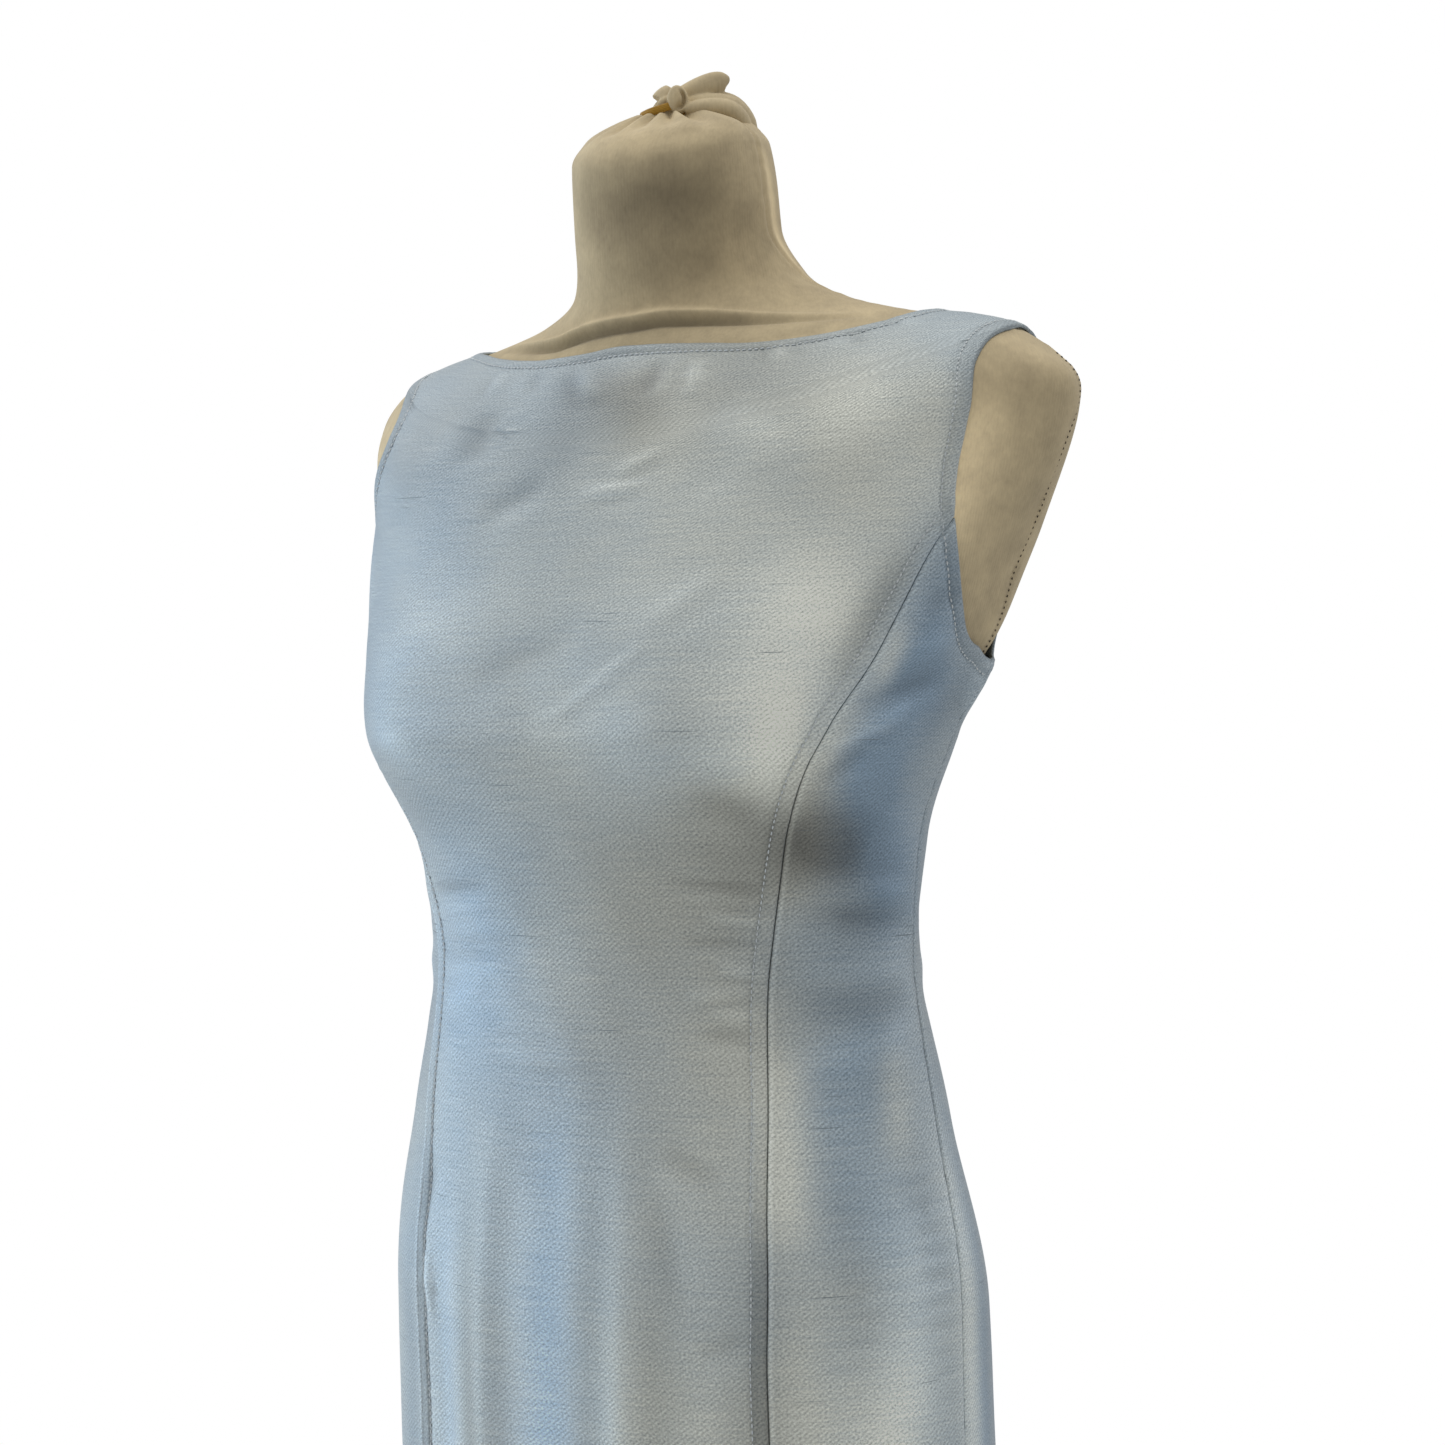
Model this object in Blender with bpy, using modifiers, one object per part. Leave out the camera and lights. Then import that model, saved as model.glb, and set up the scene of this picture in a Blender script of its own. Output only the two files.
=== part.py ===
"""A sleeveless boat-neck shift dress on a limbless dress form with a neck cover and a round stand.

Metres, +Z up, front towards -Y, the wearer's left towards +X. The origin is the middle of the stand's
underside. The dress is a princess-line cut: a front centre panel, two side fronts, two backs and a
concealed zip. Every panel is a grid on one surface, which is lofted through the rings of DRESS_RINGS.
"""

import math

import bmesh
import bpy
import numpy as np
from mathutils import Matrix, Vector

CLOTH = 0.0012          # thickness of the dress's cloth
SEAM_GAP = 0.0003       # between two panels, and between a piece and what it rests on
SEAM_STRIP = 0.015      # share of a panel's width taken by the strip of faces along each seam
ARMHOLE_TOP = 2.0       # ring at which the shoulder seam ends
ARMPIT = 5.2            # ring at which the armhole meets the side seam
JUNCTION = 3.93         # ring at which the princess seam leaves the armhole

# A ring is a level line round the body. Its height is given at the side, front and back. Front and back
# are depths from the XZ plane, side_y is how far back its side point lies, and a roundness of 2 is an
# ellipse. Rings 0 to 2 cross the shoulders from the neckline out to the tip of the shoulder.
RING_COLUMNS = (
    "side_z", "front_z", "back_z", "half_width", "front", "back", "side_y", "front_round", "back_round",
)
DRESS_RINGS = (
    (1.333, 1.312, 1.326, 0.147, 0.054, 0.098, 0.040, 2.00, 2.00),   # 0 neckline
    (1.3285, 1.289, 1.306, 0.172, 0.072, 0.112, 0.042, 2.10, 2.10),  # 1 yoke
    (1.3205, 1.262, 1.280, 0.195, 0.087, 0.122, 0.044, 2.20, 2.20),  # 2 tip of the shoulder
    (1.285, 1.230, 1.248, 0.214, 0.101, 0.130, 0.050, 2.30, 2.30),   # 3 upper arm
    (1.220, 1.190, 1.203, 0.2015, 0.114, 0.128, 0.043, 2.35, 2.35),  # 4 chest
    (1.155, 1.150, 1.155, 0.183, 0.127, 0.112, 0.022, 2.55, 2.35),  # 5 armpit
    (1.110, 1.110, 1.110, 0.167, 0.133, 0.101, 0.008, 2.75, 2.30),  # 6 bust
    (1.050, 1.050, 1.050, 0.149, 0.1175, 0.088, 0.001, 2.30, 2.20),  # 7 under the bust
    (0.990, 0.990, 0.990, 0.146, 0.108, 0.080, 0.000, 2.10, 2.10),   # 8 waist
    (0.900, 0.900, 0.900, 0.163, 0.112, 0.090, 0.000, 2.10, 2.10),   # 9 high hip
    (0.800, 0.800, 0.800, 0.179, 0.117, 0.118, 0.000, 2.10, 2.10),   # 10 hip
    (0.690, 0.690, 0.690, 0.179, 0.115, 0.127, 0.000, 2.10, 2.10),   # 11 thigh
    (0.400, 0.400, 0.400, 0.181, 0.115, 0.130, 0.000, 2.10, 2.10),   # 12 hem
)

# The torso of the form: above the neckline it is the neck, below it the body that the dress hangs on.
FORM_RINGS = (
    (1.4505, 1.4495, 1.4520, 0.0100, 0.004, 0.016, 0.006, 2.0, 2.0),  # 0 throat of the gathered cover
    (1.4465, 1.4400, 1.4520, 0.0300, 0.024, 0.036, 0.006, 2.0, 2.0),  # 1 crown
    (1.4400, 1.4290, 1.4490, 0.0480, 0.040, 0.056, 0.008, 2.0, 2.0),  # 2 shoulder of the crown
    (1.4290, 1.4140, 1.4400, 0.0560, 0.046, 0.065, 0.009, 2.1, 2.1),  # 3 top of the neck
    (1.4100, 1.3960, 1.4200, 0.0565, 0.045, 0.067, 0.010, 2.1, 2.1),  # 4 middle of the neck
    (1.3840, 1.3640, 1.3920, 0.0565, 0.044, 0.069, 0.014, 2.1, 2.1),  # 5 lower neck
    (1.3600, 1.3400, 1.3700, 0.0650, 0.041, 0.080, 0.028, 2.1, 2.1),  # 6 root of the neck
    (1.3440, 1.3220, 1.3480, 0.0940, 0.046, 0.087, 0.035, 2.0, 2.0),  # 7 slope
    (1.3310, 1.3100, 1.3240, 0.1450, 0.0515, 0.0955, 0.040, 2.00, 2.00),  # 8 under the neckline
    (1.3265, 1.2870, 1.3040, 0.1700, 0.0695, 0.1095, 0.042, 2.10, 2.10),  # 9
    (1.3185, 1.2600, 1.2780, 0.1925, 0.0845, 0.1195, 0.044, 2.20, 2.20),  # 10 tip of the shoulder
    (1.2840, 1.2290, 1.2470, 0.2115, 0.0985, 0.1275, 0.050, 2.30, 2.30),  # 11 upper arm
    (1.2200, 1.1900, 1.2030, 0.1985, 0.1110, 0.1240, 0.043, 2.35, 2.35),  # 12 chest
    (1.1550, 1.1500, 1.1550, 0.1750, 0.1170, 0.1060, 0.022, 2.35, 2.35),  # 13 armpit
    (1.1100, 1.1100, 1.1100, 0.1540, 0.1140, 0.0940, 0.008, 2.20, 2.25),  # 14 bust
    (1.0500, 1.0500, 1.0500, 0.1350, 0.1000, 0.0800, 0.001, 2.15, 2.15),  # 15 under the bust
    (0.9900, 0.9900, 0.9900, 0.1240, 0.0920, 0.0680, 0.000, 2.10, 2.10),  # 16 waist
    (0.9000, 0.9000, 0.9000, 0.1500, 0.1030, 0.0820, 0.000, 2.10, 2.10),  # 17 high hip
    (0.8000, 0.8000, 0.8000, 0.1690, 0.1070, 0.1080, 0.000, 2.10, 2.10),  # 18 hip
    (0.7300, 0.7300, 0.7300, 0.1640, 0.1020, 0.1080, 0.000, 2.10, 2.10),  # 19 seat
    (0.7060, 0.7060, 0.7060, 0.1540, 0.0930, 0.0990, 0.000, 2.10, 2.10),  # 20 lower edge
    (0.7000, 0.7000, 0.7000, 0.1420, 0.0820, 0.0880, 0.000, 2.10, 2.10),  # 21 underside
)

# Seams and edges on the dress's surface: ring, then the angle round the body from the centre front.
PRINCESS_SEAM = (
    (3.93, 68.4), (4.15, 65.8), (4.5, 64.5), (5.0, 63.5), (6.0, 58.8), (6.5, 56.2), (7.1, 51.5),
    (8.0, 47.5), (9.0, 42.5), (10.0, 38.8), (11.0, 39.0), (12.0, 40.0),
)
FRONT_ARMHOLE = (
    (2.0, 90.0), (2.03, 84.5), (2.1, 78.0), (2.25, 71.8), (2.5, 67.3), (2.9, 64.6), (3.3, 64.1),
    (3.7, 66.0), (3.93, 68.4), (4.35, 74.6), (4.7, 81.0), (5.0, 87.8), (5.12, 91.8), (5.18, 95.4), (5.2, 99.0),
)
BACK_ARMHOLE = (
    (2.0, 90.0), (2.03, 96.0), (2.1, 102.5), (2.25, 109.0), (2.5, 113.5), (3.0, 116.3), (3.6, 116.8),
    (4.2, 115.3), (4.6, 113.0), (4.9, 110.0), (5.1, 106.0), (5.18, 102.5), (5.2, 99.0),
)
SIDE_SEAM = (
    (5.2, 99.0), (6.0, 98.0), (7.0, 97.0), (8.0, 95.5), (8.5, 93.0), (9.0, 90.5), (10.0, 88.8), (12.0, 88.5),
)

# Bust of the dress and of the form: rise, half the distance between the points, height of the points,
# half width of a rise, and how far it reaches up and down.
DRESS_BUST = (0.0130, 0.095, 1.112, 0.048, 0.070, 0.041)
FORM_BUST = (0.0290, 0.090, 1.113, 0.043, 0.056, 0.040)

# The form's upper arm swells out sideways through each armhole: rise, height, how far back its middle
# lies, half its depth, and how far it reaches up and down.
FORM_SHOULDER = (0.0155, 1.290, 0.034, 0.032, 0.019, 0.070)

# Soft upright folds of the skirt: angle round the body, rise (a trough is below zero), half width in
# degrees, the height at which it starts, and the length over which it grows from nothing.
SKIRT_FOLDS = (
    (-14.0, 0.0035, 7.0, 0.955, 0.22),
    (4.0, -0.0035, 9.0, 0.930, 0.24),
    (-33.0, -0.0030, 7.0, 0.930, 0.22),
    (25.0, 0.0022, 8.0, 0.860, 0.20),
    (62.0, -0.0030, 9.0, 0.900, 0.25),
    (-64.0, -0.0028, 9.0, 0.900, 0.25),
    (118.0, 0.0030, 10.0, 0.860, 0.22),
    (141.0, -0.0035, 9.0, 0.840, 0.24),
    (-122.0, -0.0032, 9.0, 0.850, 0.22),
    (-146.0, 0.0030, 10.0, 0.870, 0.24),
)

# Waist dart of each back: middle of the dart, its greatest take-up as a shallow trough, and its reach.
BACK_DART_ANGLE = 136.0
BACK_DART_DEPTH = 0.0025
BACK_DART_HALF_WIDTH = 5.0
BACK_DART_REACH = 0.12
WAIST_RING = 8

# Zip at the top of the centre back seam: a slider that lies on the cloth and a pull tab that hangs on it.
# Distances along run down the seam from the middle of the slider, distances out leave the cloth.
ZIP_RING = 0.55
SLIDER_LENGTH = 0.0084
SLIDER_WIDTH = 0.0056
SLIDER_HEIGHT = 0.0018
BAIL_WIDTH = 0.0018
BAIL_WIRE = 0.0009
BAIL_TOP = 0.0052
BAIL_START = -0.0029
BAIL_END = 0.0035
PIN_ALONG = 0.0016
PIN_OUT = 0.0033
PIN_HALF = 0.0005
PULL_LENGTH = 0.0235
PULL_WIDTH = 0.0064
PULL_THICKNESS = 0.0010
PULL_EYE_WIDTH = 0.0030
PULL_EYE_END = 0.0056
PULL_TILT = -15.5         # degrees about its pin, from along the seam, so that it hangs on the cloth

# Gathered end of the form's cover, and the elastic that holds it. The profile gives the height above the
# foot, the radius, and the depth of the lobes as a share of the radius.
GATHER_X = 0.004
GATHER_Y = 0.008
GATHER_FOOT = 1.4525
GATHER_PROFILE = (
    (0.0000, 0.0088, 0.00),
    (0.0045, 0.0088, 0.02),
    (0.0080, 0.0125, 0.10),
    (0.0125, 0.0150, 0.16),
    (0.0165, 0.0125, 0.20),
    (0.0195, 0.0070, 0.22),
)
GATHER_LOBES = 5
GATHER_LEAN_X = 0.35
GATHER_LEAN_Y = 0.25
GATHER_FLAP = 0.006
BAND_RING = 0.0125
BAND_WIRE = 0.0021

# Stand: a round base, a collar that grips the pole's foot, the pole, and a flanged socket under the torso.
POLE_RADIUS = 0.0125
BASE_RADIUS = 0.180
BASE_THICKNESS = 0.008
BASE_EDGE = 0.003
COLLAR_RADIUS = 0.030
COLLAR_TOP_RADIUS = 0.019
COLLAR_HEIGHT = 0.036
COLLAR_RIM = 0.006
FLANGE_RADIUS = 0.050
FLANGE_THICKNESS = 0.006
FLANGE_EDGE = 0.002
SOCKET_TOP_RADIUS = 0.021
SOCKET_RADIUS = 0.019
SOCKET_LENGTH = 0.020
TORSO_UNDERSIDE = 0.700

SILVER_BLUE = (0.42, 0.49, 0.56, 1.0)
FAWN_JERSEY = (0.56, 0.49, 0.36, 1.0)
MUSTARD = (0.46, 0.29, 0.04, 1.0)
GREY_METAL = (0.45, 0.46, 0.48, 1.0)
DARK_STEEL = (0.05, 0.05, 0.055, 1.0)


def smooth_through(xs, ys, x):
    """Monotone cubic through the points (xs, ys), read at x. ys may hold several columns."""
    xs = np.asarray(xs, float)
    ys = np.asarray(ys, float).reshape(len(xs), -1)
    x = np.clip(np.asarray(x, float), xs[0], xs[-1])
    step = np.diff(xs)[:, None]
    slope = np.diff(ys, axis=0) / step
    before, after = slope[:-1], slope[1:]
    w_before = 2 * step[1:] + step[:-1]
    w_after = step[1:] + 2 * step[:-1]
    same_way = before * after > 0
    safe_before = np.where(same_way, before, 1.0)
    safe_after = np.where(same_way, after, 1.0)
    mean = (w_before + w_after) / (w_before / safe_before + w_after / safe_after)
    tangent = np.vstack([slope[:1], np.where(same_way, mean, 0.0), slope[-1:]])
    i = np.clip(np.searchsorted(xs, x, side="right") - 1, 0, len(xs) - 2)
    t = ((x - xs[i]) / step[i, 0])[..., None]
    h = step[i]
    return (
        (2 * t**3 - 3 * t**2 + 1) * ys[i] + (t**3 - 2 * t**2 + t) * h * tangent[i]
        + (3 * t**2 - 2 * t**3) * ys[i + 1] + (t**3 - t**2) * h * tangent[i + 1]
    )


def edge_angle(table, ring):
    rings, angles = zip(*table)
    return smooth_through(rings, angles, ring)[..., 0]


def ring_points(rings, ring, angle):
    """Points of a lofted body at a ring number and an angle in degrees, -180 to 180, 0 at the front."""
    ring, angle = np.broadcast_arrays(np.asarray(ring, float), np.asarray(angle, float))
    values = smooth_through(np.arange(len(rings)), rings, ring)
    side_z, front_z, back_z, half_width, front, back, side_y, front_round, back_round = (
        values[..., i] for i in range(len(RING_COLUMNS))
    )
    turn = np.radians(np.abs(angle))
    cosine = np.cos(turn)
    ahead = cosine >= 0
    roundness = np.where(ahead, front_round, back_round)
    along = np.abs(cosine) ** (2 / roundness)
    across = np.abs(np.sin(turn)) ** (2 / roundness)
    x = np.where(angle < 0, -1, 1) * half_width * across
    y = np.where(ahead, side_y - (front + side_y) * along, side_y + (back - side_y) * along)
    z = side_z + (np.where(ahead, front_z, back_z) - side_z) * np.abs(cosine) ** 1.5
    return np.stack([x, y, z], axis=-1)


def bust_rise(bust, points, angle):
    rise, from_middle, height, half_width, reach_up, reach_down = bust
    x, z = np.abs(points[..., 0]), points[..., 2]
    reach = np.where(z > height, reach_up, reach_down)
    bump = rise * np.exp(-(((x - from_middle) / half_width) ** 2) - ((z - height) / reach) ** 2)
    return np.where(np.abs(angle) < 90, bump * np.abs(np.cos(np.radians(angle))) ** 0.25, 0.0)


def fold_rise(points, angle):
    """How far the skirt's folds stand out from the lofted surface, less the sinking of the back darts."""
    rise = np.zeros(points.shape[:-1])
    for middle, height, half_width, top, grows_over in SKIRT_FOLDS:
        away = (angle - middle + 180) % 360 - 180
        grown = np.clip((top - points[..., 2]) / grows_over, 0, 1)
        rise += height * np.exp(-((away / half_width) ** 2)) * grown**2 * (3 - 2 * grown)
    away = np.abs(angle) - BACK_DART_ANGLE
    waist = DRESS_RINGS[WAIST_RING][0]
    near = np.clip(1 - np.abs(points[..., 2] - waist) / BACK_DART_REACH, 0, 1)
    return rise - BACK_DART_DEPTH * near * np.exp(-((away / BACK_DART_HALF_WIDTH) ** 2))


def dress_surface(ring, angle):
    """Outer face of the dress."""
    ring, angle = np.broadcast_arrays(np.asarray(ring, float), np.asarray(angle, float))
    points = ring_points(DRESS_RINGS, ring, angle)
    points[..., 1] -= bust_rise(DRESS_BUST, points, angle)
    outward = points * (1, 1, 0)
    outward /= np.linalg.norm(outward, axis=-1, keepdims=True)
    return points + fold_rise(points, angle)[..., None] * outward


def form_surface(ring, angle):
    ring, angle = np.broadcast_arrays(np.asarray(ring, float), np.asarray(angle, float))
    points = ring_points(FORM_RINGS, ring, angle)
    points[..., 1] -= bust_rise(FORM_BUST, points, angle)
    rise, height, from_front, half_depth, reach_up, reach_down = FORM_SHOULDER
    y, z = points[..., 1], points[..., 2]
    reach = np.where(z > height, reach_up, reach_down)
    swell = rise * np.exp(-(((y - from_front) / half_depth) ** 2) - ((z - height) / reach) ** 2)
    points[..., 0] += np.where(ring > 9, swell, 0.0) * np.sign(points[..., 0])
    return points


def seam_half_gap(ring, angle):
    """Half the gap at a seam, in degrees round the body."""
    step = 0.5
    reach = np.linalg.norm(dress_surface(ring, angle + step) - dress_surface(ring, angle - step), axis=-1)
    return SEAM_GAP * step / reach


def across(count):
    """Shares 0 to 1 across a panel, with a narrow strip at both edges so that walls meet square at a seam."""
    return np.concatenate([[0.0], np.linspace(SEAM_STRIP, 1 - SEAM_STRIP, count - 2), [1.0]])


def spread(start, end, count, first=1.0):
    """Ring numbers from start to end. With first above 1 they are closest together at the start."""
    return start + (end - start) * np.linspace(0, 1, count) ** first


# Rings at which every panel has a row of points, so that neighbours match along their seams.
YOKE_ROWS = spread(0, ARMHOLE_TOP, 5)
ARM_ROWS = spread(ARMHOLE_TOP, JUNCTION, 10, first=1.8)
UNDERARM_ROWS = ARMPIT - spread(0, ARMPIT - JUNCTION, 9, first=1.8)[::-1]
CHEST_ROWS = spread(ARMPIT, 7.0, 7)
SKIRT_ROWS = spread(7.0, 12.0, 14)
TOP_ROWS = np.concatenate([YOKE_ROWS[:-1], ARM_ROWS[:-1]])
LOWER_ROWS = np.concatenate([CHEST_ROWS[:-1], SKIRT_ROWS])
SIDE_FRONT_START = JUNCTION + 0.02


def panel_rows():
    return np.concatenate([TOP_ROWS, UNDERARM_ROWS[:-1], LOWER_ROWS])


def outer_edge(rows, armhole, side):
    """Angle of a panel's outer edge: the shoulder seam, then the armhole, then the side seam."""
    shoulder = 90 + side * seam_half_gap(rows, np.full(len(rows), 90.0))
    seam = edge_angle(SIDE_SEAM, rows)
    seam = seam + side * seam_half_gap(rows, seam)
    inside = np.minimum if side < 0 else np.maximum
    hole = edge_angle(armhole, rows)
    hole = np.where(rows < JUNCTION, inside(hole, shoulder), inside(hole, seam))
    return np.where(rows <= ARMHOLE_TOP, shoulder, np.where(rows < ARMPIT, hole, seam))


def front_centre_grid():
    rows = panel_rows()
    princess = edge_angle(PRINCESS_SEAM, rows)
    edge = outer_edge(rows, FRONT_ARMHOLE, -1)
    edge = np.where(rows > JUNCTION, princess - seam_half_gap(rows, princess), edge)
    share = across(21) * 2 - 1
    return dress_surface(rows[:, None], edge[:, None] * share)


def side_front_grid(side):
    rows = np.concatenate([[SIDE_FRONT_START], UNDERARM_ROWS[1:-1], LOWER_ROWS])
    princess = edge_angle(PRINCESS_SEAM, rows)
    inner = princess + seam_half_gap(rows, princess)
    outer = outer_edge(rows, FRONT_ARMHOLE, -1)
    share = across(9)
    return dress_surface(rows[:, None], side * (inner[:, None] + (outer - inner)[:, None] * share))


def back_grid(side):
    rows = panel_rows()
    outer = outer_edge(rows, BACK_ARMHOLE, 1)
    centre = 180 - seam_half_gap(rows, np.full(len(rows), 179.0))
    share = across(11)
    return dress_surface(rows[:, None], side * (outer[:, None] + (centre - outer)[:, None] * share))


def grid_faces(n_rows, n_columns):
    return [
        (r * n_columns + c, (r + 1) * n_columns + c, (r + 1) * n_columns + c + 1, r * n_columns + c + 1)
        for r in range(n_rows - 1)
        for c in range(n_columns - 1)
    ]


def material(name, colour, roughness, metallic=0.0):
    made = bpy.data.materials.new(name)
    made.use_nodes = True
    shader = made.node_tree.nodes["Principled BSDF"]
    shader.inputs["Base Color"].default_value = colour
    shader.inputs["Roughness"].default_value = roughness
    shader.inputs["Metallic"].default_value = metallic
    return made


def add_mesh(name, points, faces, finish, collection):
    mesh = bpy.data.meshes.new(name)
    mesh.from_pydata([tuple(p) for p in points], [], faces)
    mesh.validate()
    mesh.materials.append(finish)
    made = bpy.data.objects.new(name, mesh)
    collection.objects.link(made)
    return made


def take(made, name, finish, collection):
    """Names the object that an operator has just added and moves it to the part's collection."""
    made.name = name
    made.data.name = name
    made.data.materials.append(finish)
    for holder in list(made.users_collection):
        holder.objects.unlink(made)
    collection.objects.link(made)
    return made


def add_panel(name, grid, finish, collection):
    """A panel of cloth: an open grid with its right side out, given its thickness inwards."""
    n_rows, n_columns = grid.shape[:2]
    points = grid.reshape(-1, 3)
    faces = grid_faces(n_rows, n_columns)
    first = [points[i] for i in faces[len(faces) // 2]]
    facing = np.dot(np.cross(first[1] - first[0], first[2] - first[0]), first[0] * (1, 1, 0))
    if facing < 0:
        faces = [face[::-1] for face in faces]
    made = add_mesh(name, points, faces, finish, collection)
    made.data.shade_smooth()
    wall = made.modifiers.new("cloth", "SOLIDIFY")
    wall.thickness = CLOTH
    wall.offset = -1
    wall.use_quality_normals = True
    return made


def closed_loft(grid):
    """Points and faces of a closed body through the rows of the grid, capped at both ends."""
    n_rows, n_columns = grid.shape[:2]
    points = list(grid.reshape(-1, 3))
    faces = []
    for r in range(n_rows - 1):
        for c in range(n_columns):
            upper, lower, d = r * n_columns, (r + 1) * n_columns, (c + 1) % n_columns
            faces.append((upper + c, lower + c, lower + d, upper + d))
    for row, order in ((0, 1), (n_rows - 1, -1)):
        middle = len(points)
        points.append(grid[row].mean(axis=0))
        for c in range(n_columns):
            ends = (row * n_columns + c, row * n_columns + (c + 1) % n_columns)
            faces.append((middle, *ends[::order]))
    return points, faces


def add_torso(finish, collection):
    neck, chest, body, seat = spread(0, 8, 15), spread(8, 14, 11), spread(14, 19, 8), spread(19, 21, 4)
    rows = np.concatenate([neck[:-1], chest[:-1], body[:-1], seat])
    angles = np.linspace(-180, 180, 37)[:-1]
    points, faces = closed_loft(form_surface(rows[:, None], angles[None, :]))
    made = add_mesh("form_torso", points, faces, finish, collection)
    made.data.shade_smooth()
    return made


def add_gather(finish, collection):
    """The bunched end of the cover: a throat, lobes folded over each other, and a flap to one side."""
    heights, radii, depths = np.array(GATHER_PROFILE).T
    turns = np.radians(np.linspace(0, 360, 31)[:-1])
    level = np.linspace(0, heights[-1], 9)
    radius, depth = smooth_through(heights, np.stack([radii, depths], 1), level).T
    lobe = 1 + depth[:, None] * np.cos(GATHER_LOBES * turns + 0.6)
    x = GATHER_X + GATHER_LEAN_X * level[:, None] + radius[:, None] * lobe * np.cos(turns)
    y = GATHER_Y + GATHER_LEAN_Y * level[:, None] + radius[:, None] * lobe * np.sin(turns)
    flap = GATHER_FLAP * (level[:, None] / heights[-1]) ** 2 * np.maximum(np.cos(turns - 0.4), 0)
    z = GATHER_FOOT + level[:, None] + flap
    points, faces = closed_loft(np.stack([x, y, z], axis=-1))
    made = add_mesh("neck_gather", points, [face[::-1] for face in faces], finish, collection)
    made.data.shade_smooth()
    return made


def add_band(finish, collection):
    bpy.ops.mesh.primitive_torus_add(
        major_radius=BAND_RING, minor_radius=BAND_WIRE, major_segments=28, minor_segments=8,
        location=(GATHER_X, GATHER_Y, GATHER_FOOT + BAND_WIRE + SEAM_GAP),
    )
    made = take(bpy.context.object, "neck_band", finish, collection)
    made.data.shade_smooth()
    return made


def add_turned(name, profile, finish, collection, segments=48):
    """A solid turned about the Z axis. The profile runs from the top's middle down the outer side."""
    mesh = bpy.data.meshes.new(name)
    points = [(radius, 0.0, z) for radius, z in profile]
    mesh.from_pydata(points, [(i, i + 1) for i in range(len(points) - 1)], [])
    mesh.materials.append(finish)
    made = bpy.data.objects.new(name, mesh)
    collection.objects.link(made)
    screw = made.modifiers.new("turn", "SCREW")
    screw.steps = segments
    screw.render_steps = segments
    screw.use_merge_vertices = True
    screw.merge_threshold = 0.0001
    screw.use_smooth_shade = False
    return made


def add_stand(steel, collection):
    top = BASE_THICKNESS
    add_turned("stand_base", (
        (0, top), (BASE_RADIUS - BASE_EDGE, top), (BASE_RADIUS, top - BASE_EDGE), (BASE_RADIUS, 0), (0, 0),
    ), steel, collection, segments=64)
    inner = POLE_RADIUS + SEAM_GAP
    low = top + SEAM_GAP
    high = low + COLLAR_HEIGHT
    waist = low + 2 * COLLAR_RIM
    add_turned("stand_collar", (
        (inner, high), (COLLAR_TOP_RADIUS, high), (COLLAR_TOP_RADIUS + 0.001, high - 0.004),
        (COLLAR_TOP_RADIUS + 0.0025, waist), (COLLAR_RADIUS, low + COLLAR_RIM), (COLLAR_RADIUS, low),
        (inner, low), (inner, high),
    ), steel, collection)
    flange_top = TORSO_UNDERSIDE - SEAM_GAP
    flange_low = flange_top - FLANGE_THICKNESS
    socket_low = flange_low - SOCKET_LENGTH
    add_turned("stand_flange", (
        (0, flange_top), (FLANGE_RADIUS - FLANGE_EDGE, flange_top), (FLANGE_RADIUS, flange_top - FLANGE_EDGE),
        (FLANGE_RADIUS, flange_low), (SOCKET_TOP_RADIUS, flange_low), (SOCKET_RADIUS, socket_low),
        (0, socket_low),
    ), steel, collection)
    pole_top = socket_low - SEAM_GAP
    pole_low = top + SEAM_GAP
    bpy.ops.mesh.primitive_cylinder_add(
        vertices=32, radius=POLE_RADIUS, depth=pole_top - pole_low, location=(0, 0, (pole_top + pole_low) / 2),
    )
    take(bpy.context.object, "stand_pole", steel, collection).data.shade_smooth()


def zip_frame():
    """Where the slider lies: a point on the cloth, the way down the seam, and the way out of the cloth."""
    ring = np.array(ZIP_RING)
    point = dress_surface(ring, 180.0)
    down = dress_surface(ring + 0.15, 180.0) - dress_surface(ring - 0.15, 180.0)
    point[0] = down[0] = 0
    down /= np.linalg.norm(down)
    return point, down, np.array([0.0, -down[2], down[1]])


def zip_matrix(along, out_by):
    """Places a piece on the seam: its X across, its Y down the seam, its Z out of the cloth."""
    point, down, out = zip_frame()
    columns = (np.array([1.0, 0.0, 0.0]), down, out)
    turned = Matrix([[float(column[i]) for column in columns] for i in range(3)]).to_4x4()
    turned.translation = Vector(point + down * along + out * out_by)
    return turned


def add_extruded(name, outlines, depth, finish, collection):
    """A flat outline, with any holes, made solid: outlines are lists of points in its own XY plane."""
    curve = bpy.data.curves.new(name, "CURVE")
    curve.dimensions = "2D"
    curve.fill_mode = "BOTH"
    curve.extrude = depth / 2
    for outline in outlines:
        spline = curve.splines.new("POLY")
        spline.points.add(len(outline) - 1)
        for point, (x, y) in zip(spline.points, outline):
            point.co = (x, y, 0, 1)
        spline.use_cyclic_u = True
    curve.materials.append(finish)
    made = bpy.data.objects.new(name, curve)
    collection.objects.link(made)
    return made


def as_mesh(made):
    """The same object as a welded mesh, in its place."""
    name, place, holder = made.name, made.matrix_world.copy(), made.users_collection[0]
    mesh = bpy.data.meshes.new_from_object(made.evaluated_get(bpy.context.evaluated_depsgraph_get()))
    bpy.data.objects.remove(made, do_unlink=True)
    shape = bmesh.new()
    shape.from_mesh(mesh)
    bmesh.ops.remove_doubles(shape, verts=shape.verts, dist=1e-6)
    shape.to_mesh(mesh)
    shape.free()
    welded = bpy.data.objects.new(name, mesh)
    holder.objects.link(welded)
    welded.matrix_world = place
    return welded


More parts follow.
